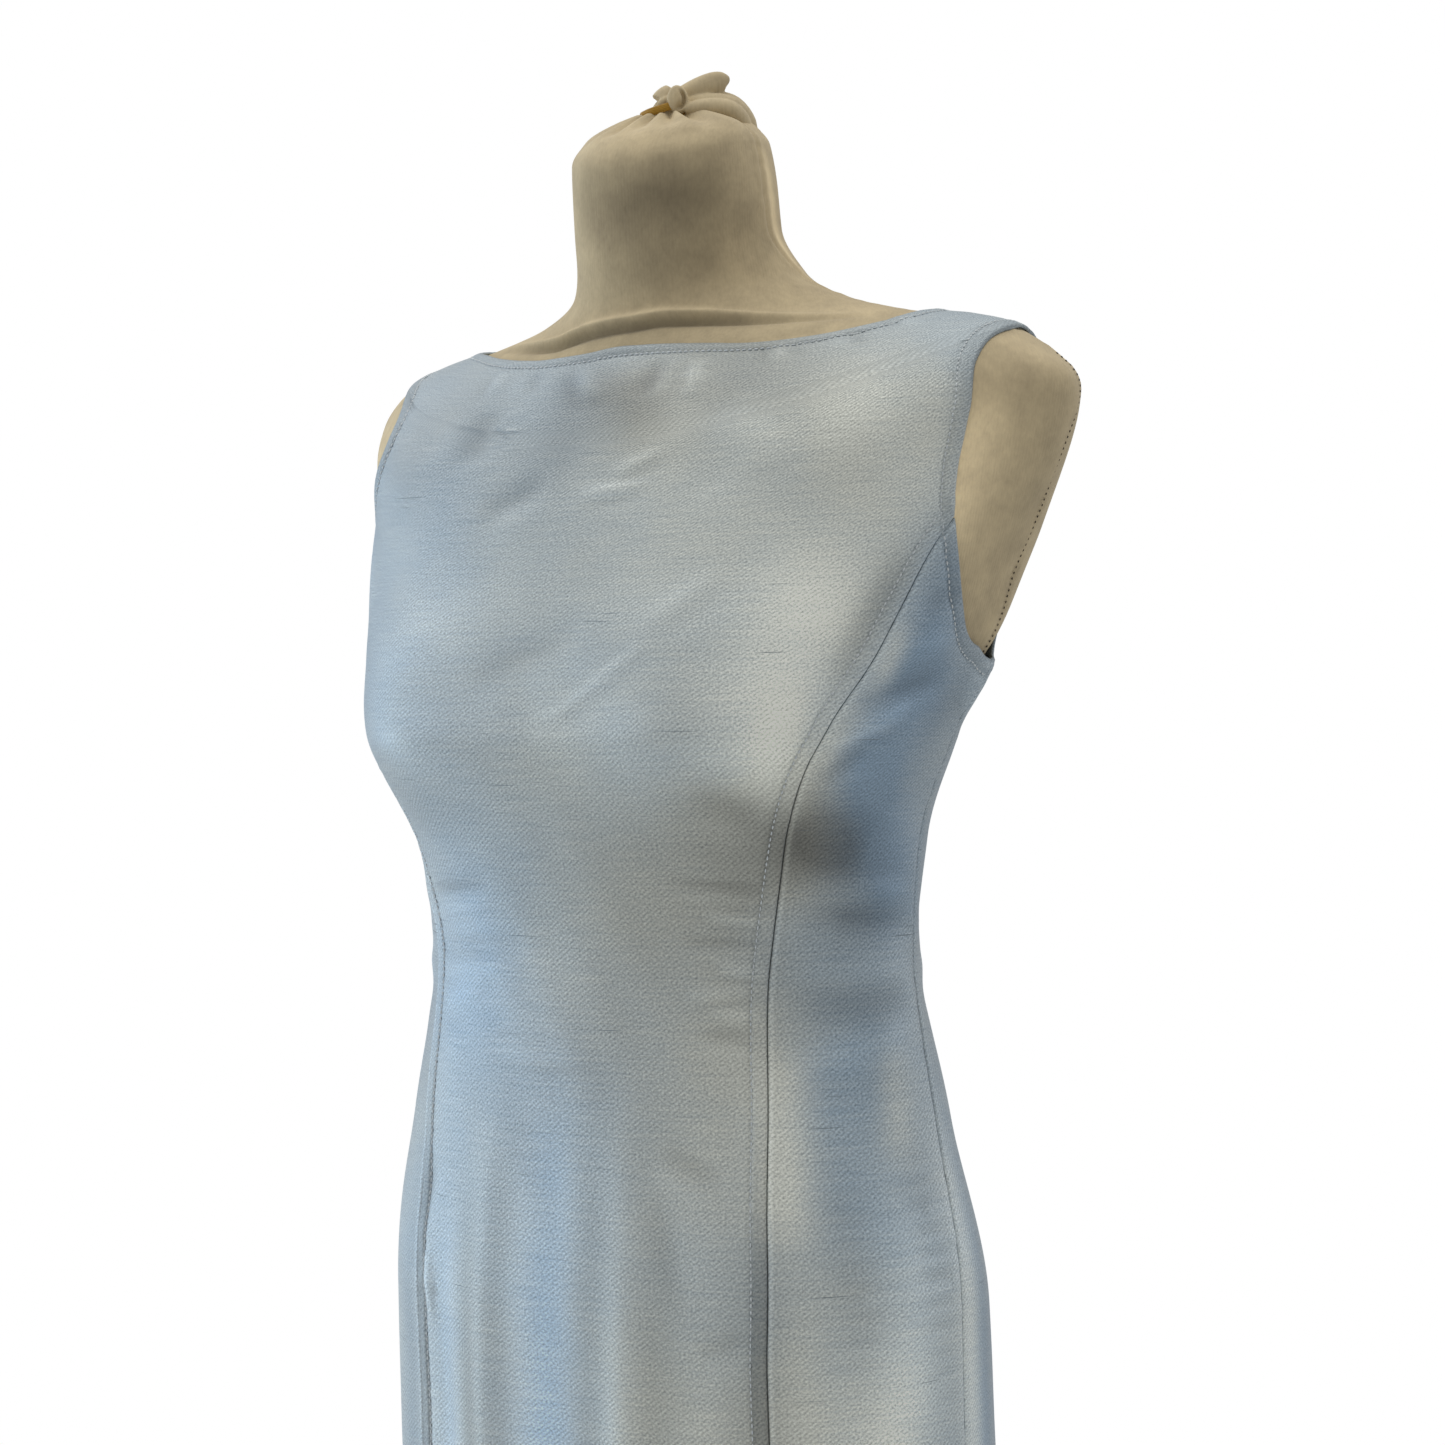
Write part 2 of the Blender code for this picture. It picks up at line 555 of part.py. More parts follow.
def add_slider(finish, collection, cutters):
    """A small block on the seam with a bail over it, which the pull tab's eye hangs in."""
    half = SLIDER_LENGTH / 2
    width = SLIDER_WIDTH / 2
    nose = width * 0.62
    block = [(-nose, -half), (nose, -half), (width, -half * 0.55), (width, half * 0.6), (nose, half),
             (-nose, half), (-width, half * 0.6), (-width, -half * 0.55)]
    slider = add_extruded("zip_slider", [block], SLIDER_HEIGHT, finish, collection)
    slider.matrix_world = zip_matrix(0, SEAM_GAP + SLIDER_HEIGHT / 2)
    slider = as_mesh(slider)

    foot = SLIDER_HEIGHT / 2
    inner_top = BAIL_TOP - BAIL_WIRE
    arch = [(BAIL_START, foot), (BAIL_START, inner_top), (BAIL_START + BAIL_WIRE, BAIL_TOP),
            (BAIL_END - BAIL_WIRE, BAIL_TOP), (BAIL_END, inner_top), (BAIL_END, foot),
            (BAIL_END - BAIL_WIRE, foot), (BAIL_END - BAIL_WIRE, inner_top),
            (BAIL_START + BAIL_WIRE, inner_top), (BAIL_START + BAIL_WIRE, foot)]
    bail = add_extruded("slider_bail", [arch], BAIL_WIDTH, finish, cutters)
    upright = Matrix(((0, 0, 1, 0), (1, 0, 0, 0), (0, 1, 0, 0), (0, 0, 0, 1)))
    bail.matrix_world = zip_matrix(0, SEAM_GAP) @ upright
    bail = as_mesh(bail)
    bail.hide_render = True
    bail.display_type = "WIRE"
    join = slider.modifiers.new("bail", "BOOLEAN")
    join.operation = "UNION"
    join.solver = "MANIFOLD"
    join.object = bail
    return slider


def add_pull(finish, collection):
    """A flat tapered tab. The top bar of its eye lies under the slider's bail, and it turns about that bar."""
    half_eye = PULL_EYE_WIDTH / 2
    shoulder = PULL_WIDTH / 2 * 0.8
    round_middle = PULL_LENGTH - PULL_WIDTH / 2
    turns = np.radians(np.linspace(0, 180, 9))
    tip = [(PULL_WIDTH / 2 * math.cos(t), round_middle + PULL_WIDTH / 2 * math.sin(t)) for t in turns]
    outline = [(-shoulder, -PIN_HALF), (shoulder, -PIN_HALF), (shoulder, PULL_EYE_END)] + tip
    outline.append((-shoulder, PULL_EYE_END))
    eye = [(-half_eye, PIN_HALF), (half_eye, PIN_HALF), (half_eye, PULL_EYE_END), (-half_eye, PULL_EYE_END)]
    pull = add_extruded("zip_pull", [outline, eye], PULL_THICKNESS, finish, collection)
    hanging = Matrix.Rotation(math.radians(PULL_TILT), 4, "X")
    pull.matrix_world = zip_matrix(PIN_ALONG, SEAM_GAP + PIN_OUT) @ hanging
    return pull


def main():
    for old in list(bpy.data.objects):
        bpy.data.objects.remove(old, do_unlink=True)
    dress = bpy.data.collections.new("shift_dress_on_form")
    bpy.context.scene.collection.children.link(dress)
    cutters = bpy.data.collections.new("cutters")
    bpy.context.scene.collection.children.link(cutters)

    cloth = material("silver_blue_dress_cloth", SILVER_BLUE, 0.45)
    jersey = material("fawn_jersey_cover", FAWN_JERSEY, 0.9)
    elastic = material("mustard_elastic", MUSTARD, 0.7)
    metal = material("grey_zip_metal", GREY_METAL, 0.35, 1.0)
    steel = material("dark_painted_steel", DARK_STEEL, 0.4)

    add_panel("front_centre_panel", front_centre_grid(), cloth, dress)
    for name, side in (("left", 1), ("right", -1)):
        add_panel(f"side_front_{name}", side_front_grid(side), cloth, dress)
        add_panel(f"back_{name}", back_grid(side), cloth, dress)
    add_torso(jersey, dress)
    add_gather(jersey, dress)
    add_band(elastic, dress)
    add_stand(steel, dress)
    bpy.context.view_layer.update()
    add_slider(metal, dress, cutters)
    add_pull(metal, dress)


main()
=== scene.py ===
"""A sleeveless boat-neck shift dress in slubbed silver-blue satin twill, on a jersey-covered dress form."""

import math

import bmesh
import bpy
import numpy as np
from mathutils import Matrix, Vector


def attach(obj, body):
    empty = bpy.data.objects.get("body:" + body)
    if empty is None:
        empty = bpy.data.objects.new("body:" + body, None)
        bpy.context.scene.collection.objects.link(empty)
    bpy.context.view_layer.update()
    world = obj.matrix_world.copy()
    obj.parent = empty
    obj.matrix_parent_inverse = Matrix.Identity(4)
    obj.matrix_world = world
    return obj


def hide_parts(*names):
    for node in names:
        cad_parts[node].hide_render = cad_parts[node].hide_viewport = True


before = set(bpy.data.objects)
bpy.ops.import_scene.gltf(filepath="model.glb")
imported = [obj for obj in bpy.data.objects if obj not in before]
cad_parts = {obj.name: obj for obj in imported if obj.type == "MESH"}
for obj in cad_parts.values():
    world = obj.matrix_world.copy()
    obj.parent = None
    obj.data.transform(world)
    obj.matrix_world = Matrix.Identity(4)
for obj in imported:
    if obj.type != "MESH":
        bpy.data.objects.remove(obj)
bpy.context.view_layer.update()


# Camera
# A short telephoto lens held level at chest height, to the left of the dress's front, as the photo was
# taken. The picture ends above the stand.
CAMERA_PLACE = (0.9249, -1.3428, 1.1268)
CAMERA_AZIMUTH = 33.61
CAMERA_RISE = 0.49
CAMERA_ROLL = -0.95
CAMERA_LENS = 73.27


def camera_matrix(place, azimuth, rise, roll):
    """Where a camera stands and how it is turned: azimuth from the front, rise and roll, in degrees."""
    turn, lift, lean = map(math.radians, (azimuth, rise, roll))
    back = Vector((math.sin(turn) * math.cos(lift), -math.cos(turn) * math.cos(lift), math.sin(lift)))
    right = Vector((0, 0, 1)).cross(back).normalized()
    up = back.cross(right)
    leaned = math.cos(lean) * right + math.sin(lean) * up
    upright = math.cos(lean) * up - math.sin(lean) * right
    turned = Matrix((leaned, upright, back)).transposed().to_4x4()
    turned.translation = place
    return turned


camera = bpy.data.objects.new("camera", bpy.data.cameras.new("camera"))
bpy.context.scene.collection.objects.link(camera)
camera.data.sensor_width = 36.0
camera.data.lens = CAMERA_LENS
camera.matrix_world = camera_matrix(CAMERA_PLACE, CAMERA_AZIMUTH, CAMERA_RISE, CAMERA_ROLL)
bpy.context.scene.camera = camera


# Stand
# A weighted steel base with a rolled edge, a cast collar, a tube pole and a flanged socket screwed to the
# torso's underside, all powder-coated black.
POWDER_BLACK = "#26272A"
SCREW_ZINC = "#A9ABAE"
BASE_RADIUS = 0.180
BASE_TOP = 0.008
POLE_RADIUS = 0.0125
COLLAR_LOW = 0.0083
COLLAR_HIGH = 0.0443
COLLAR_BORE = POLE_RADIUS + 0.0003
FLANGE_TOP = 0.6997
FLANGE_LOW = 0.6937
SOCKET_LOW = 0.6737
SCREW_CIRCLE = 0.038
SCREW_HEAD = 0.0042


def linear(hex_colour):
    """An sRGB hex colour as linear red, green, blue and alpha."""
    parts = [int(hex_colour[i:i + 2], 16) / 255 for i in (1, 3, 5)]
    return (*(c / 12.92 if c <= 0.04045 else ((c + 0.055) / 1.055) ** 2.4 for c in parts), 1.0)


def feed(node, inputs):
    """Sets each named input of a node to a value, or links it to an output or to the output that a node uses."""
    for name, value in inputs.items():
        if isinstance(value, bpy.types.Node):
            value = next(output for output in value.outputs if output.enabled)
        if isinstance(value, bpy.types.NodeSocket):
            node.id_data.links.new(value, node.inputs[name])
        else:
            node.inputs[name].default_value = value


def add_node(tree, kind, inputs=(), **settings):
    """Adds a node with its settings and inputs. On a colour Mix node, inputs 6 and 7 are its two colours."""
    made = tree.nodes.new(kind)
    for name, value in settings.items():
        setattr(made, name, value)
    feed(made, dict(inputs))
    return made


def start_material(name, **values):
    """A new material, its node tree and its shader, with values set on the shader's own sockets."""
    made = bpy.data.materials.new(name)
    made.use_nodes = True
    shader = made.node_tree.nodes["Principled BSDF"]
    for socket, value in values.items():
        shader.inputs[socket.replace("_", " ").title().replace("Ior", "IOR")].default_value = value
    return made, made.node_tree, shader


def mesh_object(name, points, faces, finish, face_uv=None):
    """An object at the origin from points, faces and, with face_uv, a texture coordinate for each corner."""
    mesh = bpy.data.meshes.new(name)
    mesh.from_pydata(np.asarray(points).tolist(), [], [tuple(map(int, face)) for face in faces])
    if face_uv is not None:
        mesh.uv_layers.new(name="cut").data.foreach_set("uv", np.asarray(face_uv, np.float32).ravel())
    mesh.materials.append(finish)
    mesh.shade_smooth()
    made = bpy.data.objects.new(name, mesh)
    bpy.context.scene.collection.objects.link(made)
    return made


def softened(profile, radius):
    """The profile with each of its inner corners cut into a small arc of four steps."""
    made = [profile[0]]
    for before, corner, after in zip(profile, profile[1:], profile[2:]):
        before, corner, after = map(np.array, (before, corner, after))
        into, out = before - corner, after - corner
        reach = min(radius, 0.45 * np.linalg.norm(into), 0.45 * np.linalg.norm(out))
        start = corner + into / np.linalg.norm(into) * reach
        end = corner + out / np.linalg.norm(out) * reach
        for t in np.linspace(0, 1, 5):
            made.append(tuple((1 - t) ** 2 * start + 2 * t * (1 - t) * corner + t**2 * end))
    return made + [profile[-1]]


def turned(name, profile, finish, steps, middle=(0.0, 0.0)):
    """A closed solid turned about an upright line, from a profile of (radius, height) that starts at its top."""
    profile = np.array(profile)
    turns = np.linspace(0, 2 * math.pi, steps, endpoint=False)
    points, rows = [], []
    for radius, height in profile:
        if radius < 1e-6:
            rows.append([len(points)] * steps)
            points.append((middle[0], middle[1], height))
            continue
        rows.append(list(range(len(points), len(points) + steps)))
        points += [(middle[0] + radius * math.cos(t), middle[1] + radius * math.sin(t), height) for t in turns]
    faces = []
    for upper, lower in zip(rows, rows[1:]):
        for i in range(steps):
            corners = (upper[i], lower[i], lower[(i + 1) % steps], upper[(i + 1) % steps])
            faces.append(tuple(dict.fromkeys(corners)))
    return mesh_object(name, points, [face for face in faces if len(face) > 2], finish)


# Powder-coated steel: a matt black skin with a fine orange peel that breaks up its highlights.
powder, tree, shader = start_material(
    "powder_coated_steel", base_color=linear(POWDER_BLACK), roughness=0.48, metallic=0.0, coat_weight=0.15,
)
place = add_node(tree, "ShaderNodeTexCoord").outputs["Object"]
peel = add_node(tree, "ShaderNodeTexNoise", {"Vector": place, "Scale": 900.0, "Detail": 2.0})
worn = add_node(tree, "ShaderNodeTexNoise", {"Vector": place, "Scale": 22.0, "Detail": 5.0})
rough = add_node(tree, "ShaderNodeMapRange", {"Value": worn, "To Min": 0.38, "To Max": 0.60})
bump = add_node(tree, "ShaderNodeBump", {"Height": peel, "Strength": 0.25, "Distance": 0.0003})
feed(shader, {"Roughness": rough, "Normal": bump})

# Zinc-plated steel: bright grey metal with faint turning marks.
zinc, tree, shader = start_material("zinc_plated_steel", base_color=linear(SCREW_ZINC), roughness=0.32, metallic=1.0)
place = add_node(tree, "ShaderNodeTexCoord").outputs["Object"]
marks = add_node(tree, "ShaderNodeTexNoise", {"Vector": place, "Scale": 2500.0, "Detail": 1.0})
bump = add_node(tree, "ShaderNodeBump", {"Height": marks, "Strength": 0.12, "Distance": 0.0002})
feed(shader, {"Normal": bump})

base = turned("stand_base_plate", softened([
    (0, BASE_TOP), (BASE_RADIUS - 0.004, BASE_TOP), (BASE_RADIUS, BASE_TOP - 0.004), (BASE_RADIUS, 0), (0, 0),
], 0.002), powder, 128)
collar = turned("stand_collar_casting", softened([
    (COLLAR_BORE, COLLAR_HIGH), (0.019, COLLAR_HIGH), (0.020, COLLAR_HIGH - 0.004), (0.0215, COLLAR_LOW + 0.012),
    (0.030, COLLAR_LOW + 0.006), (0.030, COLLAR_LOW), (COLLAR_BORE, COLLAR_LOW), (COLLAR_BORE, COLLAR_HIGH),
], 0.0018), powder, 72)
pole = turned("stand_pole_tube", softened([
    (0, SOCKET_LOW - 0.0003), (POLE_RADIUS, SOCKET_LOW - 0.0003), (POLE_RADIUS, COLLAR_LOW), (0, COLLAR_LOW),
], 0.0008), powder, 64)
flange = turned("stand_flange_socket", softened([
    (0, FLANGE_TOP), (0.050, FLANGE_TOP), (0.050, FLANGE_LOW), (0.021, FLANGE_LOW), (0.019, SOCKET_LOW),
    (0, SOCKET_LOW),
], 0.0012), powder, 72)
for piece, node in ((base, "stand_base"), (collar, "stand_collar"), (pole, "stand_pole"), (flange, "stand_flange")):
    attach(piece, "dress_on_form")
    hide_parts(node)


def start_node_group(name, inputs):
    """A geometry node group with a Geometry input and output and further named inputs."""
    group = bpy.data.node_groups.new(name, "GeometryNodeTree")
    group.interface.new_socket("Geometry", in_out="INPUT", socket_type="NodeSocketGeometry")
    group.interface.new_socket("Geometry", in_out="OUTPUT", socket_type="NodeSocketGeometry")
    for label, kind in inputs:
        group.interface.new_socket(label, in_out="INPUT", socket_type=kind)
    return group, add_node(group, "NodeGroupInput"), add_node(group, "NodeGroupOutput")


def end_node_group(group, given, result, instances):
    """Makes the instances real, smooth and of the given finish, as the group's result."""
    real = add_node(group, "GeometryNodeRealizeInstances", {"Geometry": instances})
    finished = add_node(group, "GeometryNodeSetMaterial", {"Geometry": real, "Material": given.outputs["Finish"]})
    feed(result, {"Geometry": add_node(group, "GeometryNodeSetShadeSmooth", {0: finished})})


def grown(name, carrier, group, values):
    """Runs a node group on a carrier object and gives its result as a plain mesh object at the origin."""
    modifier = carrier.modifiers.new(group.name, "NODES")
    modifier.node_group = group
    for item in group.interface.items_tree:
        if item.item_type == "SOCKET" and item.in_out == "INPUT" and item.name in values:
            modifier[item.identifier] = values[item.name]
    evaluated = carrier.evaluated_get(bpy.context.evaluated_depsgraph_get())
    mesh = bpy.data.meshes.new_from_object(evaluated)
    mesh.name = name
    bpy.data.objects.remove(carrier, do_unlink=True)
    made = bpy.data.objects.new(name, mesh)
    bpy.context.scene.collection.objects.link(made)
    return made


# Four pan-head screws hold the flange.
group, given, result = start_node_group("screws_on_points", (
    ("Head", "NodeSocketFloat"), ("Finish", "NodeSocketMaterial"),
))
head = add_node(group, "GeometryNodeMeshUVSphere", {"Segments": 16, "Rings": 8, "Radius": given.outputs["Head"]})
flat = add_node(group, "ShaderNodeCombineXYZ", {"X": 1.0, "Y": 1.0, "Z": 0.45})
squashed = add_node(group, "GeometryNodeTransform", {"Geometry": head, "Scale": flat})
set_down = add_node(group, "GeometryNodeInstanceOnPoints", {
    "Points": given.outputs["Geometry"], "Instance": squashed,
})
end_node_group(group, given, result, set_down)
screw_places = [
    (SCREW_CIRCLE * math.cos(math.radians(a)), SCREW_CIRCLE * math.sin(math.radians(a)), FLANGE_LOW)
    for a in (45, 135, 225, 315)
]
screws = grown(
    "flange_screws", mesh_object("screw_places", screw_places, [], zinc), group,
    {"Head": SCREW_HEAD, "Finish": zinc},
)
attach(screws, "dress_on_form")


# Torso cover
# A torso of light foam under a fawn jersey cover. The cover is a front and a back that a sewn seam joins up
# each side of the body, over the shoulders and up the neck, and it is drawn in round the stand's socket.
# It has slipped a little at the root of the neck, where it makes one deep fold across the front.
JERSEY_THICKNESS = 0.001
COVER_HOLE = 0.046         # radius of the drawn opening underneath, which the flange covers
COVER_LOW = 0.7002         # height of the underside at the opening
COVER_GATHERS = 31         # round the opening

# A ring is a level line round the body: its height at the side, front and back, its half width, its front
# and back depth, how far back its side point lies, and the roundness of its front and back.
FORM_RINGS = (
    (1.4505, 1.4495, 1.4520, 0.0100, 0.004, 0.016, 0.006, 2.0, 2.0),  # 0 throat of the gathered cover
    (1.4465, 1.4400, 1.4520, 0.0300, 0.024, 0.036, 0.006, 2.0, 2.0),  # 1 crown
    (1.4400, 1.4290, 1.4490, 0.0480, 0.040, 0.056, 0.008, 2.0, 2.0),  # 2 shoulder of the crown
    (1.4290, 1.4140, 1.4400, 0.0560, 0.046, 0.065, 0.009, 2.1, 2.1),  # 3 top of the neck
    (1.4100, 1.3960, 1.4200, 0.0565, 0.045, 0.067, 0.010, 2.1, 2.1),  # 4 middle of the neck
    (1.3840, 1.3640, 1.3920, 0.0565, 0.044, 0.069, 0.014, 2.1, 2.1),  # 5 lower neck
    (1.3600, 1.3400, 1.3700, 0.0650, 0.041, 0.080, 0.028, 2.1, 2.1),  # 6 root of the neck
    (1.3440, 1.3220, 1.3480, 0.0940, 0.046, 0.087, 0.035, 2.0, 2.0),  # 7 slope
    (1.3310, 1.3100, 1.3240, 0.1450, 0.0515, 0.0955, 0.040, 2.00, 2.00),  # 8 under the neckline
    (1.3265, 1.2870, 1.3040, 0.1700, 0.0695, 0.1095, 0.042, 2.10, 2.10),  # 9
    (1.3185, 1.2600, 1.2780, 0.1925, 0.0845, 0.1195, 0.044, 2.20, 2.20),  # 10 tip of the shoulder
    (1.2840, 1.2290, 1.2470, 0.2115, 0.0985, 0.1275, 0.050, 2.30, 2.30),  # 11 upper arm
    (1.2200, 1.1900, 1.2030, 0.1985, 0.1110, 0.1240, 0.043, 2.35, 2.35),  # 12 chest
    (1.1550, 1.1500, 1.1550, 0.1750, 0.1170, 0.1060, 0.022, 2.35, 2.35),  # 13 armpit
    (1.1100, 1.1100, 1.1100, 0.1540, 0.1140, 0.0940, 0.008, 2.20, 2.25),  # 14 bust
    (1.0500, 1.0500, 1.0500, 0.1350, 0.1000, 0.0800, 0.001, 2.15, 2.15),  # 15 under the bust
    (0.9900, 0.9900, 0.9900, 0.1240, 0.0920, 0.0680, 0.000, 2.10, 2.10),  # 16 waist
    (0.9000, 0.9000, 0.9000, 0.1500, 0.1030, 0.0820, 0.000, 2.10, 2.10),  # 17 high hip
    (0.8000, 0.8000, 0.8000, 0.1690, 0.1070, 0.1080, 0.000, 2.10, 2.10),  # 18 hip
    (0.7300, 0.7300, 0.7300, 0.1640, 0.1020, 0.1080, 0.000, 2.10, 2.10),  # 19 seat
    (0.7060, 0.7060, 0.7060, 0.1540, 0.0930, 0.0990, 0.000, 2.10, 2.10),  # 20 lower edge
    (0.7000, 0.7000, 0.7000, 0.1420, 0.0820, 0.0880, 0.000, 2.10, 2.10),  # 21 underside
)
# Swells of the body: how far each stands out, where its middle lies (the bust's to the side, the shoulder's towards
# the back) and how high, and how far it reaches to each side, up and down.
FORM_BUST = (0.029, 0.090, 1.113, 0.043, 0.056, 0.040)
FORM_SHOULDER = (0.0155, 0.034, 1.290, 0.032, 0.019, 0.070)
# The swell under the arm's end: how far it stands out, its ring, half length in rings, angle and half width.
UNDERARM_SWELL = (0.0056, 12.9, 0.45, 100, 17)
# How far the crown's one side is drawn in, at which ring, over how many, and which way.
CROWN_LEAN = (0.0032, 2.7, 1.1, 33.6)
# How far each shoulder lies over to the wearer's left: amount, height, reach up and down, side of the body.
SHOULDER_LEANS = ((0.0046, 1.290, 0.060, 1), (0.0055, 1.240, 0.030, -1))

# Where the cover's side seam and the fold at the neck's root run: ring, angle from the centre front.
COVER_SEAM = (
    (0, 96), (2, 94.5), (3.7, 93.5), (5, 93), (6, 97), (7, 100), (8, 97), (9.3, 92), (10.1, 87.5), (10.5, 90.5),
    (10.9, 90), (11.4, 88.6), (11.9, 90), (12.4, 91.5), (12.8, 96), (13.2, 98), (16, 96), (18, 92), (21, 92),
)
NECK_FOLD = (
    (-75, 7.75), (-50, 7.45), (-28.5, 7.14), (-24.5, 6.92), (-13.5, 6.62), (-2.2, 6.5), (14.5, 6.46),
    (31.8, 6.7), (52.5, 7.34), (63, 7.6), (90, 7.9),
)

# Pleats that fan out over the crown from the gathered end: angle, rise, half width in degrees, last ring.
CROWN_PLEATS = (
    (-64, 0.0034, 7, 2.3), (-46, -0.0034, 5, 2.2), (-34, 0.003, 6, 2), (-20, -0.0036, 4, 1.7),
    (-8, 0.0034, 6, 1.8), (6, -0.003, 4, 1.4), (18, 0.0026, 7, 1.8), (34, -0.0026, 5, 1.6),
    (46, 0.0026, 6, 2.2), (60, -0.003, 6, 2.2), (80, 0.0032, 8, 2.8), (98, -0.003, 6, 2.6),
    (120, 0.0026, 8, 2.4), (138, -0.0026, 7, 2.6), (160, 0.0026, 8, 2.2), (180, -0.0026, 7, 2.5),
    (-158, 0.0026, 8, 2.3), (-136, -0.0026, 7, 2.4), (-112, 0.0026, 8, 2.2), (-88, -0.0026, 7, 2.5),
)

# Painted light and shade on the jersey: ring and angle of both ends of a stretch, nothing for its hue, how much
# lighter, and how far it reaches. The neck's front, turned from the light above, gets painted shade; the arms'
# ends and a strip behind the neck seam get painted light.
FORM_PAINTED_LIGHT = (
    (3.75, -24, 3.95, 70, 0, -0.3, 0.014), (4.4, -16, 4.5, 68, 0, -0.36, 0.02),
    (5.2, -16, 5.4, 62, 0, -0.18, 0.016), (1.6, -40, 2.1, 62, 0, 0.1, 0.016), (3, 99, 6.4, 104, 0, 0.6, 0.005),
    (10.8, 68, 12.4, 66, 0, 1, 0.021), (10.6, -58, 11.4, -62, 0, 0.25, 0.02),
    (11.4, 86, 12.4, 88, 0, -0.14, 0.012), (10.1, 80, 10.5, 82, 0, 0.15, 0.012),
    (7.4, 60, 7.6, 85, 0, 0.15, 0.015), (3.1, -24, 4.3, -24, 0, -0.18, 0.01),
    (4.9, 76, 5.4, 82, 0, -0.14, 0.012),
)

# The cover's rows of points: first and last ring of a stretch and its count, closest at the fold of the neck's root.
COVER_ROWS = ((0, 3, 46), (3, 6, 42), (6, 7.8, 66), (7.8, 9, 22), (9, 14, 70), (14, 19, 50), (19, 21, 14))


def smooth_through(xs, ys, x):
    """Monotone cubic through the points (xs, ys), read at x. ys may hold several columns."""
    xs = np.asarray(xs, float)
    ys = np.asarray(ys, float).reshape(len(xs), -1)
    x = np.clip(np.asarray(x, float), xs[0], xs[-1])
    step = np.diff(xs)[:, None]
    slope = np.diff(ys, axis=0) / step
    before, after = slope[:-1], slope[1:]
    w_before = 2 * step[1:] + step[:-1]
    w_after = step[1:] + 2 * step[:-1]
    same_way = before * after > 0
    safe_before = np.where(same_way, before, 1.0)
    safe_after = np.where(same_way, after, 1.0)
    mean = (w_before + w_after) / (w_before / safe_before + w_after / safe_after)
    tangent = np.vstack([slope[:1], np.where(same_way, mean, 0.0), slope[-1:]])
    i = np.clip(np.searchsorted(xs, x, side="right") - 1, 0, len(xs) - 2)
    t = ((x - xs[i]) / step[i, 0])[..., None]
    h = step[i]
    return (
        (2 * t**3 - 3 * t**2 + 1) * ys[i] + (t**3 - 2 * t**2 + t) * h * tangent[i]
        + (3 * t**2 - 2 * t**3) * ys[i + 1] + (t**3 - t**2) * h * tangent[i + 1]
    )


def read_table(table, place):
    """A two-column table read at a place in its first column."""
    places, values = zip(*table)
    return smooth_through(places, values, place)[..., 0]


def ring_points(rings, ring, angle):
    """Points of a lofted body at a ring number and an angle in degrees, -180 to 180, 0 at the front."""
    values = smooth_through(np.arange(len(rings)), rings, ring)
    side_z, front_z, back_z, half_width, front, back, side_y, front_round, back_round = np.moveaxis(values, -1, 0)
    turn = np.radians(np.abs(angle))
    cosine = np.cos(turn)
    ahead = cosine >= 0
    roundness = np.where(ahead, front_round, back_round)
    along = np.abs(cosine) ** (2 / roundness)
    across = np.abs(np.sin(turn)) ** (2 / roundness)
    x = np.where(angle < 0, -1, 1) * half_width * across
    y = np.where(ahead, side_y - (front + side_y) * along, side_y + (back - side_y) * along)
    z = side_z + (np.where(ahead, front_z, back_z) - side_z) * np.abs(cosine) ** 1.5
    return np.stack([x, y, z], axis=-1)


def bell(away, half_width):
    """A smooth bump of height 1 that has fallen to about a third at its half width."""
    return np.exp(-((away / half_width) ** 2))


def swell_rise(swell, aside, height):
    """How far a swell of the body stands out at a distance to its side and a height."""
    rise, middle, level, half_width, reach_up, reach_down = swell
    reach = np.where(height > level, reach_up, reach_down)
    return rise * bell(aside - middle, half_width) * bell(height - level, reach)


def bust_rise(bust, points, angle):
    """How far the bust stands out to the front, fading to nothing at the sides."""
    rise = swell_rise(bust, np.abs(points[..., 0]), points[..., 2])
    return np.where(np.abs(angle) < 90, rise * np.abs(np.cos(np.radians(angle))) ** 0.25, 0.0)


def shoulder_lean(points):
    """How far both shoulders, and the cloth on them, lie over to the wearer's left."""
    x, z = points[..., 0], points[..., 2]
    return sum(
        amount * bell(z - height, reach) * np.clip((side * x - 0.06) / 0.10, 0, 1)
        for amount, height, reach, side in SHOULDER_LEANS
    )


def form_surface(ring, angle):
    """Points of the torso: its rings, with the swells of bust, shoulders and underarms, and its leans."""
    ring, angle = np.broadcast_arrays(np.asarray(ring, float), np.asarray(angle, float))
    points = ring_points(FORM_RINGS, ring, angle)
    points[..., 1] -= bust_rise(FORM_BUST, points, angle)
    side = np.sign(points[..., 0])
    shoulder = swell_rise(FORM_SHOULDER, points[..., 1], points[..., 2])
    points[..., 0] += np.where(ring > 9, shoulder, 0.0) * side
    rise, middle, half_length, turned_to, half_width = UNDERARM_SWELL
    points[..., 0] += rise * bell(ring - middle, half_length) * bell(np.abs(angle) - turned_to, half_width) * side
    points[..., 0] += shoulder_lean(points)
    reach, middle, half_length, turned_to = CROWN_LEAN
    way = np.array([math.cos(math.radians(turned_to)), math.sin(math.radians(turned_to))])
    to_side = np.clip(points[..., :2] @ way / 0.05, 0, 1)
    points[..., :2] -= (reach * bell(ring - middle, half_length) * to_side**2)[..., None] * way
    return points


